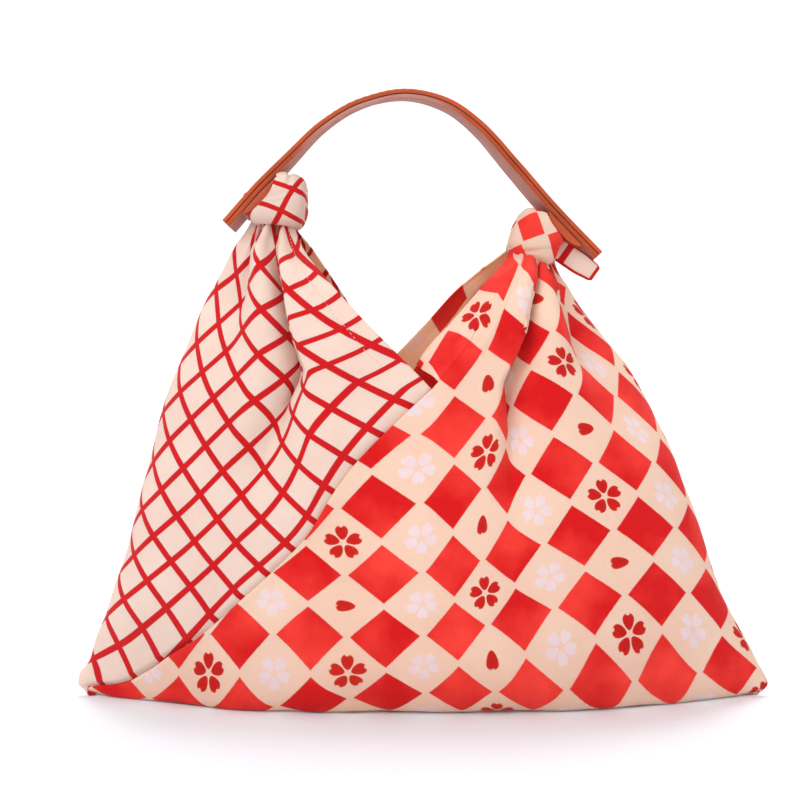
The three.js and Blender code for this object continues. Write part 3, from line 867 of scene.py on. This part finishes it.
# %% Tabs
STRAP_THICK = 2 * LAYER + LAYER_GAP
TAB_WIDE, TAB_THICK, TAB_LONG, TAB_INSET, TAB_TIP = 21.0, 3.8, 23.0, 9.0, 0.8  # mm
TAB_STEPS, TAB_BEVEL = 16, 0.3  # lengths it is cut in, mm


def tab_thickness(share):
    return mix(TAB_TIP, TAB_THICK, 1 - abs(2 * share - 1) ** 3)


def tab(name, start):
    top, half = -STRAP_THICK - LAYER_GAP, TAB_WIDE / 2
    piece = block(name, (start, -half, top - TAB_THICK), (start + TAB_LONG, half, top))
    cut_lengths(piece, start, TAB_LONG, TAB_STEPS)
    for i in range(TAB_STEPS + 1):
        at = start + TAB_LONG * i / TAB_STEPS
        pick_points(piece, lambda v: abs(v.x - at) < 0.1 and v.z < top - 1)
        lift = TAB_THICK - tab_thickness(i / TAB_STEPS)
        bpy.ops.transform.translate(value=(0, 0, lift * MM))
    edges = pick_edges(piece, lambda a, b: same(a.y, b.y) and same(abs(a.y), half))
    bpy.ops.mesh.bevel(offset=TAB_BEVEL * MM, segments=2)
    print(name, edges, "edges bevelled")
    return bend(piece)


TAB_STARTS = (TAB_INSET, STRAP_LENGTH - TAB_INSET - TAB_LONG)
keepers = []
for node, start in zip(("tab_left", "tab_right"), TAB_STARTS):
    keeper = tab("keeper_" + node, start)
    keepers.append(keeper)
    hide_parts(node)

# %% [markdown]
# ## Saddle stitches
# The stitches are all alike, so one is shaped from a ball and an Array modifier
# repeats it along the groove. The second row is made in the other groove.

# %% Stitches
STITCH_LONG, STITCH_THICK, STITCH_STEP = 3.0, 0.75, 4.2  # mm
STITCH_START, STITCH_SUNK = 6.0, 0.05  # from the strap's end, below its face, mm


def stitch_row(name, y):
    deselect()
    bpy.ops.mesh.primitive_uv_sphere_add(segments=8, ring_count=6, radius=0.5)
    piece = bpy.context.object
    piece.name = piece.data.name = name
    bpy.ops.object.mode_set(mode="EDIT")
    bpy.ops.mesh.select_all(action="SELECT")
    bpy.ops.transform.resize(value=(STITCH_LONG * MM, STITCH_THICK * MM, STITCH_THICK * MM))
    bpy.ops.transform.translate(value=(STITCH_START * MM, y * MM, -STITCH_SUNK * MM))
    bpy.ops.object.mode_set(mode="OBJECT")
    count = int((STRAP_LENGTH - 2 * STITCH_START) / STITCH_STEP) + 1
    apply_modifier(piece, "ARRAY", count=count, use_relative_offset=False,
                   use_constant_offset=True, constant_offset_displace=(STITCH_STEP * MM, 0, 0))
    print(count, "stitches")
    return bend(piece)


stitches = [stitch_row("stitches_front", GROOVE_IN - STRAP_WIDE / 2),
            stitch_row("stitches_back", STRAP_WIDE / 2 - GROOVE_IN)]
bpy.data.objects.remove(handle_line)

# %% [markdown]
# ## Where the leather presses
# A knot closes round the strap and its tab, so the leather presses into it. A
# place is measured along the handle and by its height over the strap's outer
# face. What stands where the leather is goes down to just under it.

# %% Pressing
step_along = np.gradient(strap_line, axis=0)
step_along /= np.linalg.norm(step_along, axis=1)[:, None]
strap_up = np.stack([-step_along[:, 1], step_along[:, 0]], axis=1)
PRESS_GAP = 0.6  # mm below the leather
PRESS_BACK, PRESS_EASE = 12.2, 1.6  # where the leather's back edge is, and the slope there, mm


def press(place):
    """Moves a place out of the leather, down to just under it."""
    offset = strap_line - place[[0, 2]]
    nearest = int(np.argmin(np.sum(offset**2, axis=1)))
    height = float(-offset[nearest] @ strap_up[nearest])
    deep = STRAP_THICK + PRESS_GAP
    for start in TAB_STARTS:
        share = (strap_run[nearest] - start) / TAB_LONG
        if -0.1 < share < 1.1:
            deep += LAYER_GAP + tab_thickness(min(max(share, 0), 1))
    back = smooth((PRESS_BACK + PRESS_EASE - place[1]) / PRESS_EASE)
    move = -max(height + deep, 0) * float(back)
    return place + move * np.array([strap_up[nearest][0], 0, strap_up[nearest][1]])


print("leather presses", round(STRAP_THICK + LAYER_GAP + TAB_THICK + PRESS_GAP, 1), "mm deep")

# %% [markdown]
# ## Knots
# A knot of soft cotton is a lump of wrapped bands, squarer than a ball. Each
# starts as a finely divided cube that is drawn to a rounded block. Creases are
# then pressed in along flat cuts through the lump, and the band's lower edge
# turns in over the gathered cloth below. `count` places the print on it.

# %% Knot makers
KNOT_CUTS, KNOT_POWER = 47, 3.5  # cuts each way, and how square the block is
KNOT_CAP = 0.93  # past this share of the way to a side the print runs straight round
CREASE_FADE = 0.35  # share of the knot's height in which the foot of a crease fades
BAND_EDGE, BAND_IN = 0.93, 2.5  # where the lower edge turns in, as a share, and how far, mm
LUMP, LUMP_WIDE = 0.5, 7.0  # mm


def crease_depth(ball, creases):
    deep = 0.0
    for crease in creases:
        normal = np.array(crease["normal"]) / np.linalg.norm(crease["normal"])
        reach = float(smooth((ball[2] - crease["low"]) / CREASE_FADE))
        offset = (ball @ normal - crease["offset"]) / crease["wide"]
        deep += reach * crease["deep"] * math.exp(-offset**2)
    return deep


def lay_print(mesh, uv, prints):
    """Gives each corner its point's place in the print, and smooths all but the ends."""
    for made in mesh.faces:
        made.smooth = len(made.verts) == 4
        for loop in made.loops:
            loop[uv].uv = prints[loop.vert]


def knot(name, centre, size, lean, creases, count, finish):
    mesh = bmesh.new()
    bmesh.ops.create_cube(mesh, size=2)
    bmesh.ops.subdivide_edges(mesh, edges=mesh.edges, cuts=KNOT_CUTS, use_grid_fill=True)
    uv = mesh.loops.layers.uv.new("print")
    turn = Matrix.Rotation(math.radians(lean), 3, "Y")
    prints = {}
    for vertex in mesh.verts:
        way = np.tan(np.array(vertex.co) * math.pi / 4)
        way /= (np.abs(way) ** KNOT_POWER).sum() ** (1 / KNOT_POWER)
        ball = way / np.linalg.norm(way)
        place = way * np.array(size) / 2
        under = float(smooth((-way[2] - BAND_EDGE) / (1 - BAND_EDGE)))
        inwards = crease_depth(ball, creases)
        inwards += LUMP * noise.noise(Vector(place / LUMP_WIDE)) + BAND_IN * under
        place = place - ball * inwards
        round_x = size[0] / 2 * math.asin(min(max(ball[0], -KNOT_CAP), KNOT_CAP))
        round_z = size[2] / 2 * math.asin(ball[2])
        prints[vertex] = count(round_x, round_z)
        place = np.array(turn @ Vector(place)) + np.array(centre)
        vertex.co = Vector(press(place)) * MM
    lay_print(mesh, uv, prints)
    piece = cloth_piece(name, mesh, 0)
    return piece


print("a knot has", 6 * (KNOT_CUTS + 1) ** 2, "faces")

# %% [markdown]
# ## The two knots
# On the left knot the red lines lean to the right and fall to the right. On
# the right one two checks show, corner to corner.

# %% Knots
def left_print(x, z):
    return 0.55 + x / 13.7 - z * 0.035, 0.46 + z / 11.6 + x * 0.026


def right_print(x, z):
    turn, cell = math.radians(-4), 15.5
    return (0.82 + (x * math.cos(turn) + z * math.sin(turn)) / cell,
            0.41 + (z * math.cos(turn) - x * math.sin(turn)) / cell)


LEFT_CREASES = table(
    "normal offset wide deep low",
    ((1, 0, 0.1), 0.42, 0.055, 1.5, 0.25), ((-0.4, 0.3, 1), 0.8, 0.07, 1.1, 0.4),
    ((0.45, 0.2, -1), 0.02, 0.06, 0.45, -0.5), ((0.3, 0.25, -1), -0.25, 0.07, 0.4, -0.5),
)
RIGHT_CREASES = table(
    "normal offset wide deep low",
    ((1, 0.1, 0.25), 0.55, 0.06, 0.9, 0.1), ((-0.7, 0.2, 0.8), 0.66, 0.07, 1.2, 0.1),
    ((0.5, 0.2, -1), 0.35, 0.06, 0.6, -0.9), ((-0.3, -0.4, 1), -0.25, 0.06, 0.4, -0.9),
)
left_knot = knot("left_knot", LEFT_KNOT, (29.4, 32, 28), 4, LEFT_CREASES,
                 left_print, "grid_cloth")
right_knot = knot("right_knot", RIGHT_KNOT, (25.6, 34, 26.5), 22, RIGHT_CREASES,
                  right_print, "check_cloth")

# %% [markdown]
# ## Tails
# Past each knot a hemmed corner of the cloth sticks out. It is flat, thick
# with its hems, and cut by the print's red lines near its borders.

# %% Tails
TAIL_RINGS, TAIL_SIDES, TAIL_NARROW, TAIL_CUP = 30, 40, 0.8, 0.8  # its end's share, mm
NARROWS_FROM, ROUNDS_FROM, HEMS_FROM = 0.7, 0.9, 0.75  # shares of its length and half width


def tail(name, start, end, wide, thick, count):
    start, end = np.array(start, float), np.array(end, float)
    length = float(np.linalg.norm(end - start))
    along = (end - start) / length
    across = np.cross(along, (0, 1, 0))
    across /= np.linalg.norm(across)
    flat = np.cross(across, along)
    mesh = bmesh.new()
    uv = mesh.loops.layers.uv.new("print")
    prints, points = {}, []
    for i in range(TAIL_RINGS + 1):
        share = i / TAIL_RINGS
        narrowed = float(smooth((share - NARROWS_FROM) / (1 - NARROWS_FROM)))
        rounded = max((share - ROUNDS_FROM) / (1 - ROUNDS_FROM), 0)
        width = wide * mix(1, TAIL_NARROW, narrowed) * math.sqrt(1 - 0.4 * rounded**4)
        row = []
        for k in range(TAIL_SIDES):
            angle = 2 * math.pi * k / TAIL_SIDES
            u, v = signed_power(math.cos(angle), 0.45), signed_power(math.sin(angle), 0.7)
            bead = 1 - 0.35 * float(smooth((HEMS_FROM - abs(u)) / (1 - HEMS_FROM)))
            bend = TAIL_CUP * (u * u - 0.4) + 0.5 * math.sin(share * 5)
            place = start + along * length * share + across * u * width / 2 \
                + flat * (v * thick / 2 * bead + bend)
            vertex = mesh.verts.new(Vector(place) * MM)
            prints[vertex] = count(u, share)
            row.append(vertex)
        points.append(row)
    for i in range(TAIL_RINGS):
        for k in range(TAIL_SIDES):
            n = (k + 1) % TAIL_SIDES
            mesh.faces.new([points[i][k], points[i][n], points[i + 1][n], points[i + 1][k]])
    mesh.faces.new(list(reversed(points[0])))
    mesh.faces.new(points[-1])
    bmesh.ops.recalc_face_normals(mesh, faces=mesh.faces)
    lay_print(mesh, uv, prints)
    print(name, round(length, 1), "mm long")
    return cloth_piece(name, mesh, 0)


left_tail = tail("left_tail", (-74, 13.4, 246), (-92, 14, 249.5), 11.5, 3.4,
                 lambda u, share: (0.5 + 0.5 * u, 0.15 + 1.85 * share))
right_tail = tail("right_tail", (56, -4, 230.3), (85.4, -5, 209.6), 11.4, 3.2,
                  lambda u, share: (0.5 + 0.5 * u, 2 * (1 - share)))

# %% [markdown]
# ## Hem stitches
# The free edges above the mouth are folded twice and stitched down. A running
# stitch is a small ball drawn out long. Each one lies on the cloth, a few
# millimetres in from the edge, and turns with it.

# %% Hem stitches
HEM_STITCH, HEM_STITCH_STEP, HEM_LINE = 1.7, 2.6, 6.6  # mm long, apart, in from the edge
HEM_STITCH_THICK, HEM_STITCH_RAISED, HEM_STITCHES_FROM = 0.3, 0.05, 8.0  # mm, mm above the V


def hem_stitches(name, wall, widths, heights, step):
    cloth = face(wall, None, heights, even(150), widths, grid_count, step)
    normal = outward_normals(cloth["places"], wall)
    spots, ups = [], []
    for row in range(len(heights)):
        if heights[row] > H + HEM_STITCHES_FROM:
            k = int(np.argmin(np.abs(cloth["hem"][row] - HEM_LINE)))
            spots.append(cloth["places"][row, k])
            ups.append(normal[row, k])
    run = run_along(spots)

    def at(values, place):
        return np.array([np.interp(place, run, np.array(values)[:, k]) for k in range(3)])

    mesh = bmesh.new()
    for start in np.arange(1, run[-1] - HEM_STITCH, HEM_STITCH_STEP):
        first, last = at(spots, start), at(spots, start + HEM_STITCH)
        up, along = Vector(at(ups, start)).normalized(), Vector(last - first).normalized()
        side = up.cross(along).normalized()
        turn = Matrix((along, side, along.cross(side))).transposed().to_4x4()
        turn.translation = (Vector(first + last) / 2 + up * HEM_STITCH_RAISED) * MM
        thick = HEM_STITCH_THICK * MM
        size = Matrix.Diagonal((HEM_STITCH * MM, thick, thick, 1))
        bmesh.ops.create_uvsphere(mesh, u_segments=6, v_segments=5, radius=0.5,
                                  matrix=turn @ size)
    return cloth_piece(name, mesh, 0)


hem_rows = [
    hem_stitches("hem_left_front", LEFT_FRONT, grid_widths, grid_rows, -SINK),
    hem_stitches("hem_left_back", LEFT_BACK, grid_widths, grid_rows, -SINK),
    hem_stitches("hem_right_back", RIGHT_BACK, check_widths, check_rows, RAISE),
]

# %% [markdown]
# ## Sums on sockets
# A shader's arithmetic reads badly as a row of Math nodes. Wrapped like this,
# a socket can be added, multiplied and compared as a number can, and each sum
# adds its node.

# %% Shader sums
def feed(tree, slot, value):
    """Links a sum to a socket, or sets a plain value on it."""
    if isinstance(value, Sum):
        tree.links.new(value.socket, slot)
    else:
        slot.default_value = value


class Sum:
    def __init__(self, tree, socket):
        self.tree, self.socket = tree, socket

    def math(self, operation, *others):
        node = self.tree.nodes.new("ShaderNodeMath")
        node.operation = operation
        for slot, value in zip(node.inputs, (self, *others)):
            feed(self.tree, slot, value)
        return Sum(self.tree, node.outputs[0])

    def __add__(self, other): return self.math("ADD", other)
    def __sub__(self, other): return self.math("SUBTRACT", other)
    def __mul__(self, other): return self.math("MULTIPLY", other)
    def __truediv__(self, other): return self.math("DIVIDE", other)
    def __lt__(self, other): return self.math("LESS_THAN", other)
    def __rsub__(self, other): return self * -1 + other
    def __abs__(self): return self.math("ABSOLUTE")
    def __pow__(self, other): return self.math("POWER", other)

    __radd__, __rmul__ = __add__, __mul__

    def soft(self, width):
        """1 where the value is above 0, 0 below, with an edge this wide."""
        return (self / width + 0.5).most(0).least(1)

    def floor(self): return self.math("FLOOR")
    def fract(self): return self.math("FRACT")
    def sin(self): return self.math("SINE")
    def least(self, other): return self.math("MINIMUM", other)
    def most(self, other): return self.math("MAXIMUM", other)


print("a sum has", len([name for name in dir(Sum) if name[0] != "_"]), "named methods")

# %% [markdown]
# ## A finish
# A finish is one material with a Principled shader. It adds any node by its
# kind, settings and sockets, and is put on the pieces that share it.

# %% Finishes
class Finish:
    def __init__(self, name, roughness=0.8, sheen=0.0):
        self.material = bpy.data.materials.new(name)
        self.material.use_nodes = True
        self.tree = self.material.node_tree
        self.shader = self.tree.nodes["Principled BSDF"]
        self.shader.inputs["Roughness"].default_value = roughness
        self.shader.inputs["Sheen Weight"].default_value = sheen

    def add(self, kind, settings=None, **sockets):
        node = self.tree.nodes.new("ShaderNode" + kind)
        for name, value in (settings or {}).items():
            setattr(node, name, value)
        for name, value in sockets.items():
            feed(self.tree, node.inputs[name.replace("_", " ")], value)
        return node

    def take(self, node, output=0):
        return Sum(self.tree, node.outputs[output])

    def parts(self, vector):
        node = self.add("SeparateXYZ", Vector=vector)
        return [self.take(node, k) for k in range(3)]

    def spots(self, vector, scale, detail=3.0):
        return self.take(self.add("TexNoise", Vector=vector, Scale=scale, Detail=detail))

    def blend(self, share, low, high):
        node = self.add("Mix", {"data_type": "RGBA"})
        for socket, value in ((0, share), (6, low), (7, high)):
            feed(self.tree, node.inputs[socket], value)
        return Sum(self.tree, node.outputs[2])

    def give(self, socket, value):
        self.tree.links.new(value.socket, self.shader.inputs[socket])

    def bump(self, height, distance, strength=1.0):
        node = self.add("Bump", Height=height, Distance=distance, Strength=strength)
        self.give("Normal", self.take(node))

    def on(self, *pieces):
        for piece in pieces:
            piece.data.materials.clear()
            piece.data.materials.append(self.material)


def colour(red, green, blue):
    """A colour of cloth or leather as it looks, 0 to 255, for a shader."""
    def linear(value):
        value /= 255
        return value / 12.92 if value <= 0.04045 else ((value + 0.055) / 1.055) ** 2.4
    return (linear(red), linear(green), linear(blue), 1)


print("cream is", [round(v, 2) for v in colour(247, 234, 220)])

# %% [markdown]
# ## Printed cotton
# Both prints are on the same plain-woven cotton with a slight rib. The weave is
# a bump of fine crossing waves, counted with the print so that it bends with
# the cloth. Dye is never flat: it soaks in unevenly, so colours are mottled.

# %% Cotton
RIB = 0.7  # mm from rib to rib
GLOW, DYE_STOPS = 0.32, 0.8  # share of light through undyed cotton, and what dye keeps back
FUZZ, SLUB = 900, 160  # how fine the cotton's hairs and its thicker yarns are


def cotton(name, pitches):
    finish = Finish(name, roughness=0.9, sheen=0.05)
    finish.shader.inputs["Specular IOR Level"].default_value = 0.2
    print_place = finish.take(finish.add("UVMap", {"uv_map": "print"}))
    solid_place = finish.take(finish.add("TexCoord"), 3)
    u, v, _ = finish.parts(print_place)
    ribs = [(n * (2 * math.pi * pitch / RIB)).sin() for n, pitch in zip((u, v), pitches)]
    fuzz = finish.spots(solid_place, FUZZ, 2)
    slub = finish.spots(solid_place, SLUB, 3)
    finish.bump(ribs[0] * 0.5 + ribs[1] * 0.35 + fuzz * 0.8 + slub * 0.6, 0.00012, 0.55)
    return finish, u, v, solid_place, slub


def let_light_through(finish, dyed):
    """Undyed cotton glows warmly where light falls on its far side."""
    through = finish.add("BsdfTranslucent", Color=colour(255, 206, 150))
    both = finish.add("MixShader", Fac=(1 - dyed * DYE_STOPS) * GLOW)
    finish.tree.links.new(finish.shader.outputs[0], both.inputs[1])
    finish.tree.links.new(through.outputs[0], both.inputs[2])
    finish.tree.links.new(both.outputs[0], finish.tree.nodes["Material Output"].inputs[0])


print("light through undyed cotton", GLOW)

# %% [markdown]
# ## The windowpane grid
# A line is drawn wherever a count is near a whole number. The edges of a line
# are a little rough where the dye has run along the threads.

# %% Grid cotton
grid_finish, u, v, place, slub = cotton("grid_cotton", (17.6, 14.4))
LINE = 0.095  # half a red line's width, in cells


def near_whole(value):
    return abs((value + 0.5).fract() - 0.5)


rough_edge = (grid_finish.spots(place, 700, 1) - 0.5) * 0.008
red = (rough_edge + LINE - near_whole(u).least(near_whole(v))).soft(0.02)
wash = grid_finish.spots(place, 45, 3)
cream = grid_finish.blend(wash, colour(250, 240, 226), colour(243, 216, 204))
dye = grid_finish.blend(wash * 0.6 + slub * 0.4, colour(212, 18, 26), colour(184, 8, 18))
grid_finish.give("Base Color", grid_finish.blend(red, cream, dye))
let_light_through(grid_finish, red)
print("grid cotton", len(grid_finish.tree.nodes), "nodes")

# %% [markdown]
# ## Checks
# Red checks stand corner to corner, each a little smaller than its cell.

# %% Checks
check_finish, u, v, place, slub = cotton("check_cotton", (34.2, 25))
HALF_CHECK = 0.458  # from a check's middle to its corner, in cells
across, up = u.fract() - 0.5, v.fract() - 0.5
soaked = (check_finish.spots(place, 500, 2) - 0.5) * 0.014
check = (soaked + HALF_CHECK - (abs(across) + abs(up))).soft(0.018)
print("a check reaches", HALF_CHECK, "cells from its middle")

# %% [markdown]
# ## Which blossom stands where
# The peach places between the checks hold blossoms. Their columns take turns:
# white flowers, then red ones, and some places have one petal alone.

# %% Blossom places
def odd(count):
    return (count * 0.5).fract() * 2


def middle_of(columns):
    """1 in the middle one of each so many columns."""
    return abs((column / columns + 0.01).fract() - 0.51) < 0.05


column, line = (u + 0.5).floor(), (v + 0.5).floor()
x, y = u - column, v - line
odd_column, odd_line = odd(column), odd(line)
every_fourth, every_eighth = middle_of(4), middle_of(8)
single = every_fourth * odd_line + every_eighth * (1 - odd_line)
print("blossom places", len(check_finish.tree.nodes), "nodes so far")

# %% [markdown]
# ## A flower
# A flower is one notched petal, repeated in five sectors round its middle, so
# no picture is needed. The white ones are a little smaller and stand on end.

# %% Flower
FLOWER, LEAF_MIDDLE, NOTCH = 0.26, 0.59, 0.11  # radius in cells, and shares of it
WHITE_SMALLER = 0.14
FIFTH = 2 * math.pi / 5
radius = (x * x + y * y) ** 0.5 * (1 + odd_column * WHITE_SMALLER)
facing_way = odd_column * math.pi
angle = y.math("ARCTAN2", x) + math.pi / 2 + facing_way
sector = ((angle * (1 / FIFTH) + 0.5).fract() - 0.5) * FIFTH
out = radius * sector.math("COSINE")
aside = radius * sector.sin()
wide = out * 0.24 + FLOWER * 0.17
leaf = 1 - ((out - FLOWER * LEAF_MIDDLE) / (FLOWER * (1 - LEAF_MIDDLE))) ** 2 - (aside / wide) ** 2
notch = FLOWER * NOTCH - ((out - FLOWER) * (out - FLOWER) + aside * aside) ** 0.5
flower = leaf.soft(0.16) * (1 - notch.soft(0.012))
print("a flower is", round(2 * FLOWER, 2), "cells wide")

# %% [markdown]
# ## One petal alone
# It is a drop with a small bite out of its end. It lies level in the columns
# that have one in every other place, and stands upright in the others.

# %% Petal
long, short = 0.13, 0.085  # half its length and width, in cells
level = every_fourth
tip = (x * level - y * (1 - level)) / long
belly = (y * level + x * (1 - level)) / short
petal = (1 - tip * tip - belly * belly * (1 + tip * 0.7).most(0.3)).soft(0.16)
bite = 0.16 - ((tip + 1) * (tip + 1) + belly * belly) ** 0.5
petal = petal * (1 - bite.soft(0.1))
blossoms = check_finish.take(check_finish.add("Attribute", {"attribute_name": "blossoms"}), 2)
motif = (flower * (1 - single) + petal * single) * (1 - check) * blossoms
print("a petal is", round(2 * long, 2), "cells long")

# %% [markdown] ## Colours of the check cotton Peach, red and white are each
# mottled in their own way.

# %% Check colours
peach_wash = check_finish.spots(place, 38, 3)
peach = check_finish.blend(peach_wash, colour(255, 234, 214), colour(250, 214, 190))
soak = check_finish.spots(place, 26, 4)
check_red = check_finish.blend(((soak - 0.42) * 3).most(0).least(1),
                               colour(212, 14, 18), colour(255, 72, 60))
flower_red = check_finish.blend(slub, colour(222, 22, 28), colour(194, 12, 22))
flower_white = check_finish.blend(slub, colour(253, 244, 248), colour(242, 228, 236))
bloom = check_finish.blend(odd_column, flower_red, flower_white)
ground = check_finish.blend(motif, peach, bloom)
check_finish.give("Base Color", check_finish.blend(check, ground, check_red))
let_light_through(check_finish, check)
print("check cotton", len(check_finish.tree.nodes), "nodes")

# %% [markdown]
# ## Leather
# The handle is vegetable-tanned leather. Its face is an even brown with fine
# pores, its cut edges are brighter and stripy from burnishing, and the flesh
# side under the strap is pinkish, matt and fibrous.

# %% Leather
EDGE_SEEN, EDGE_SOFT = 0.5, 0.4  # how far in the burnished edge reaches, and its blur, mm


def leather(name, light, dark, edge_light, edge_dark, roughness, pore):
    finish = Finish(name, roughness=roughness)
    place = finish.take(finish.add("TexCoord"), 3)
    _, y, _ = finish.parts(place)
    mottle = finish.spots(place, 70, 4)
    pores = finish.take(finish.add("TexVoronoi", Vector=place, Scale=pore))
    stripes = finish.spots(finish.take(finish.add(
        "Mapping", Vector=place, Scale=(0.25, 4.0, 0.25))), 260, 3)
    edge = (abs(y) - (STRAP_WIDE / 2 - EDGE_SEEN) * MM).soft(EDGE_SOFT * MM)
    body = finish.blend(mottle, light, dark)
    rim = finish.blend(stripes, edge_light, edge_dark)
    finish.give("Base Color", finish.blend(edge, body, rim))
    finish.give("Roughness", roughness + (mottle - 0.5) * 0.25)
    finish.bump(pores * 0.5 + mottle * 0.4 + stripes * 0.5, 0.0003, 0.6)
    return finish


leather_face = leather("leather_face", colour(186, 78, 26), colour(150, 54, 14),
                       colour(208, 84, 20), colour(142, 46, 8), 0.5, 900)
leather_flesh = leather("leather_flesh", colour(192, 138, 124), colour(164, 108, 96),
                        colour(196, 78, 20), colour(136, 46, 10), 0.8, 500)
glue_finish = leather("glue_line", colour(74, 30, 14), colour(52, 20, 10),
                      colour(74, 30, 14), colour(52, 20, 10), 0.7, 700)


print("burnished edge", EDGE_SEEN, "mm")

# %% [markdown]
# ## Thread, and who wears what
# Thread is twisted, so it has a fine mottle along it. Then each finish is put
# on its pieces.

# %% Threads
def thread(name, light, dark):
    finish = Finish(name, roughness=0.7)
    place = finish.take(finish.add("TexCoord"), 3)
    twist = finish.spots(place, 1500, 2)
    finish.give("Base Color", finish.blend(twist, light, dark))
    finish.bump(twist, 0.0001, 0.6)
    return finish


strap_thread = thread("strap_thread", colour(214, 122, 56), colour(170, 84, 30))
hem_thread = thread("hem_thread", colour(234, 200, 186), colour(214, 172, 160))

grid_finish.on(grid_cloth, left_knot, left_tail, right_tail)
check_finish.on(check_cloth, right_knot)
leather_face.on(strap_upper, *keepers)
leather_flesh.on(strap_under)
glue_finish.on(glue)
strap_thread.on(*stitches)
hem_thread.on(*hem_rows)
print("finishes given")

# %% [markdown]
# ## The strip's three squares
# The strip was three squares of 250 mm. One square is the grid cloth and two
# are the check. Their knots, tails and hems are part of the same cloth.

# %% [markdown]
# ## Floor
# The bag stands on a pale paper floor that sweeps up behind it without a
# corner. It lies a hair under the cloth, so the two never share a plane.

# %% Floor
FLOOR_WIDE, SWEEP_HIGH, SWEEP_ROUND, FLOOR_DOWN = 8.0, 6.0, 2.5, 0.0003  # metres
far_edge = FLOOR_WIDE / MM / 2 - 100  # mm
deselect()
bpy.ops.mesh.primitive_plane_add(size=1)
floor = bpy.context.object
floor.name = "floor"
bpy.ops.object.mode_set(mode="EDIT")
bpy.ops.mesh.select_all(action="SELECT")
bpy.ops.transform.resize(value=(FLOOR_WIDE, FLOOR_WIDE, 1))
bpy.ops.transform.translate(value=(0, 0, -FLOOR_DOWN))
pick_edges(floor, lambda a, b: min(a.y, b.y) > far_edge)
bpy.ops.mesh.extrude_region_move(TRANSFORM_OT_translate={"value": (0, 0, SWEEP_HIGH)})
pick_edges(floor, lambda a, b: min(a.y, b.y) > far_edge and max(a.z, b.z) < 1)
bpy.ops.mesh.bevel(offset=SWEEP_ROUND, segments=24)
bpy.ops.object.mode_set(mode="OBJECT")
bpy.ops.object.shade_smooth()
print("floor", len(floor.data.polygons), "faces")

# %% [markdown]
# ## Paper
# Near the bag the paper is painted a little grey, a painted shade, so that a contact shadow reads.
# From behind the bag on it turns white and glows, a painted light from paper that is no lamp, so
# no horizon shows.

# %% Paper
WHITE_FROM, WHITE_OVER, PAPER_GLOW = 0.2, 2.6, 0.3  # metres, metres, strength
paper = Finish("paper", roughness=0.9)
place = paper.take(paper.add("TexCoord"), 3)
# painted light: 0 near the bag and 1 far off, it turns grey paper into glowing white
painted_light_share = ((paper.parts(place)[1] - WHITE_FROM) / WHITE_OVER).most(0).least(1)
painted_light_share = painted_light_share * painted_light_share * (3 - painted_light_share * 2)
grain = paper.spots(place, 400, 2)
# painted shade: near the bag the paper's colour is greyer
painted_grey_near_paper = paper.blend(grain, colour(222, 225, 230), colour(219, 222, 227))
paper.give("Base Color", paper.blend(painted_light_share, painted_grey_near_paper, colour(252, 252, 252)))
# painted light: the paper glows white farther off, though it is no lamp
paper.give("Emission Color", paper.blend(painted_light_share, colour(80, 82, 86), colour(255, 255, 255)))
paper.shader.inputs["Emission Strength"].default_value = PAPER_GLOW
paper.on(floor)
print("paper turns white over", WHITE_OVER, "m")

# %% [markdown]
# ## Light
# A soft lamp above and a little behind lays a short shadow before the bag, and
# one at each side in front keeps the folds light, as in a light tent. The
# world's even white fills in what they leave.

# %% Lamps
LAMP_AIM = Vector((0, 0, 0.13))  # the middle of the cloth, in metres
WORLD_LIGHT = 0.78
LAMPS = table(
    "name place size watts",
    ("key", (-0.7, -0.9, 1.1), 0.9, 10.5), ("fill", (1.1, -0.8, 0.7), 1.0, 2.5),
    ("top", (0.05, 0.35, 1.4), 0.6, 10),
)


def lamp(name, place, size, watts):
    data = bpy.data.lights.new(name, "AREA")
    data.shape, data.size, data.energy = "DISK", size, watts
    made = add_object(name, data)
    made.location = place
    made.rotation_euler = (LAMP_AIM - Vector(place)).to_track_quat("-Z", "Y").to_euler()


for row in LAMPS:
    lamp(**row)
world = bpy.data.worlds.new("studio")
world.use_nodes = True
world.node_tree.nodes["Background"].inputs["Color"].default_value = (1, 1, 1, 1)
world.node_tree.nodes["Background"].inputs["Strength"].default_value = WORLD_LIGHT
scene = bpy.context.scene
scene.world = world
scene.view_settings.view_transform = "Standard"
print("lamps", [row["name"] for row in LAMPS])

# %% [markdown]
# ## Camera
# The camera looks level from in front, at the height of the middle of the
# cloth, from about half a metre away.

# %% Camera
CAMERA_PLACE, CAMERA_LENS = (-11.5, -550, 147.4), 49.5  # mm, mm
camera_data = bpy.data.cameras.new("camera")
camera_data.lens, camera_data.sensor_width = CAMERA_LENS, 36
camera = add_object("camera", camera_data)
camera.location = [value * MM for value in CAMERA_PLACE]
camera.rotation_euler = (math.pi / 2, 0, 0)
scene.camera = camera
print("camera", [round(v, 3) for v in camera.location])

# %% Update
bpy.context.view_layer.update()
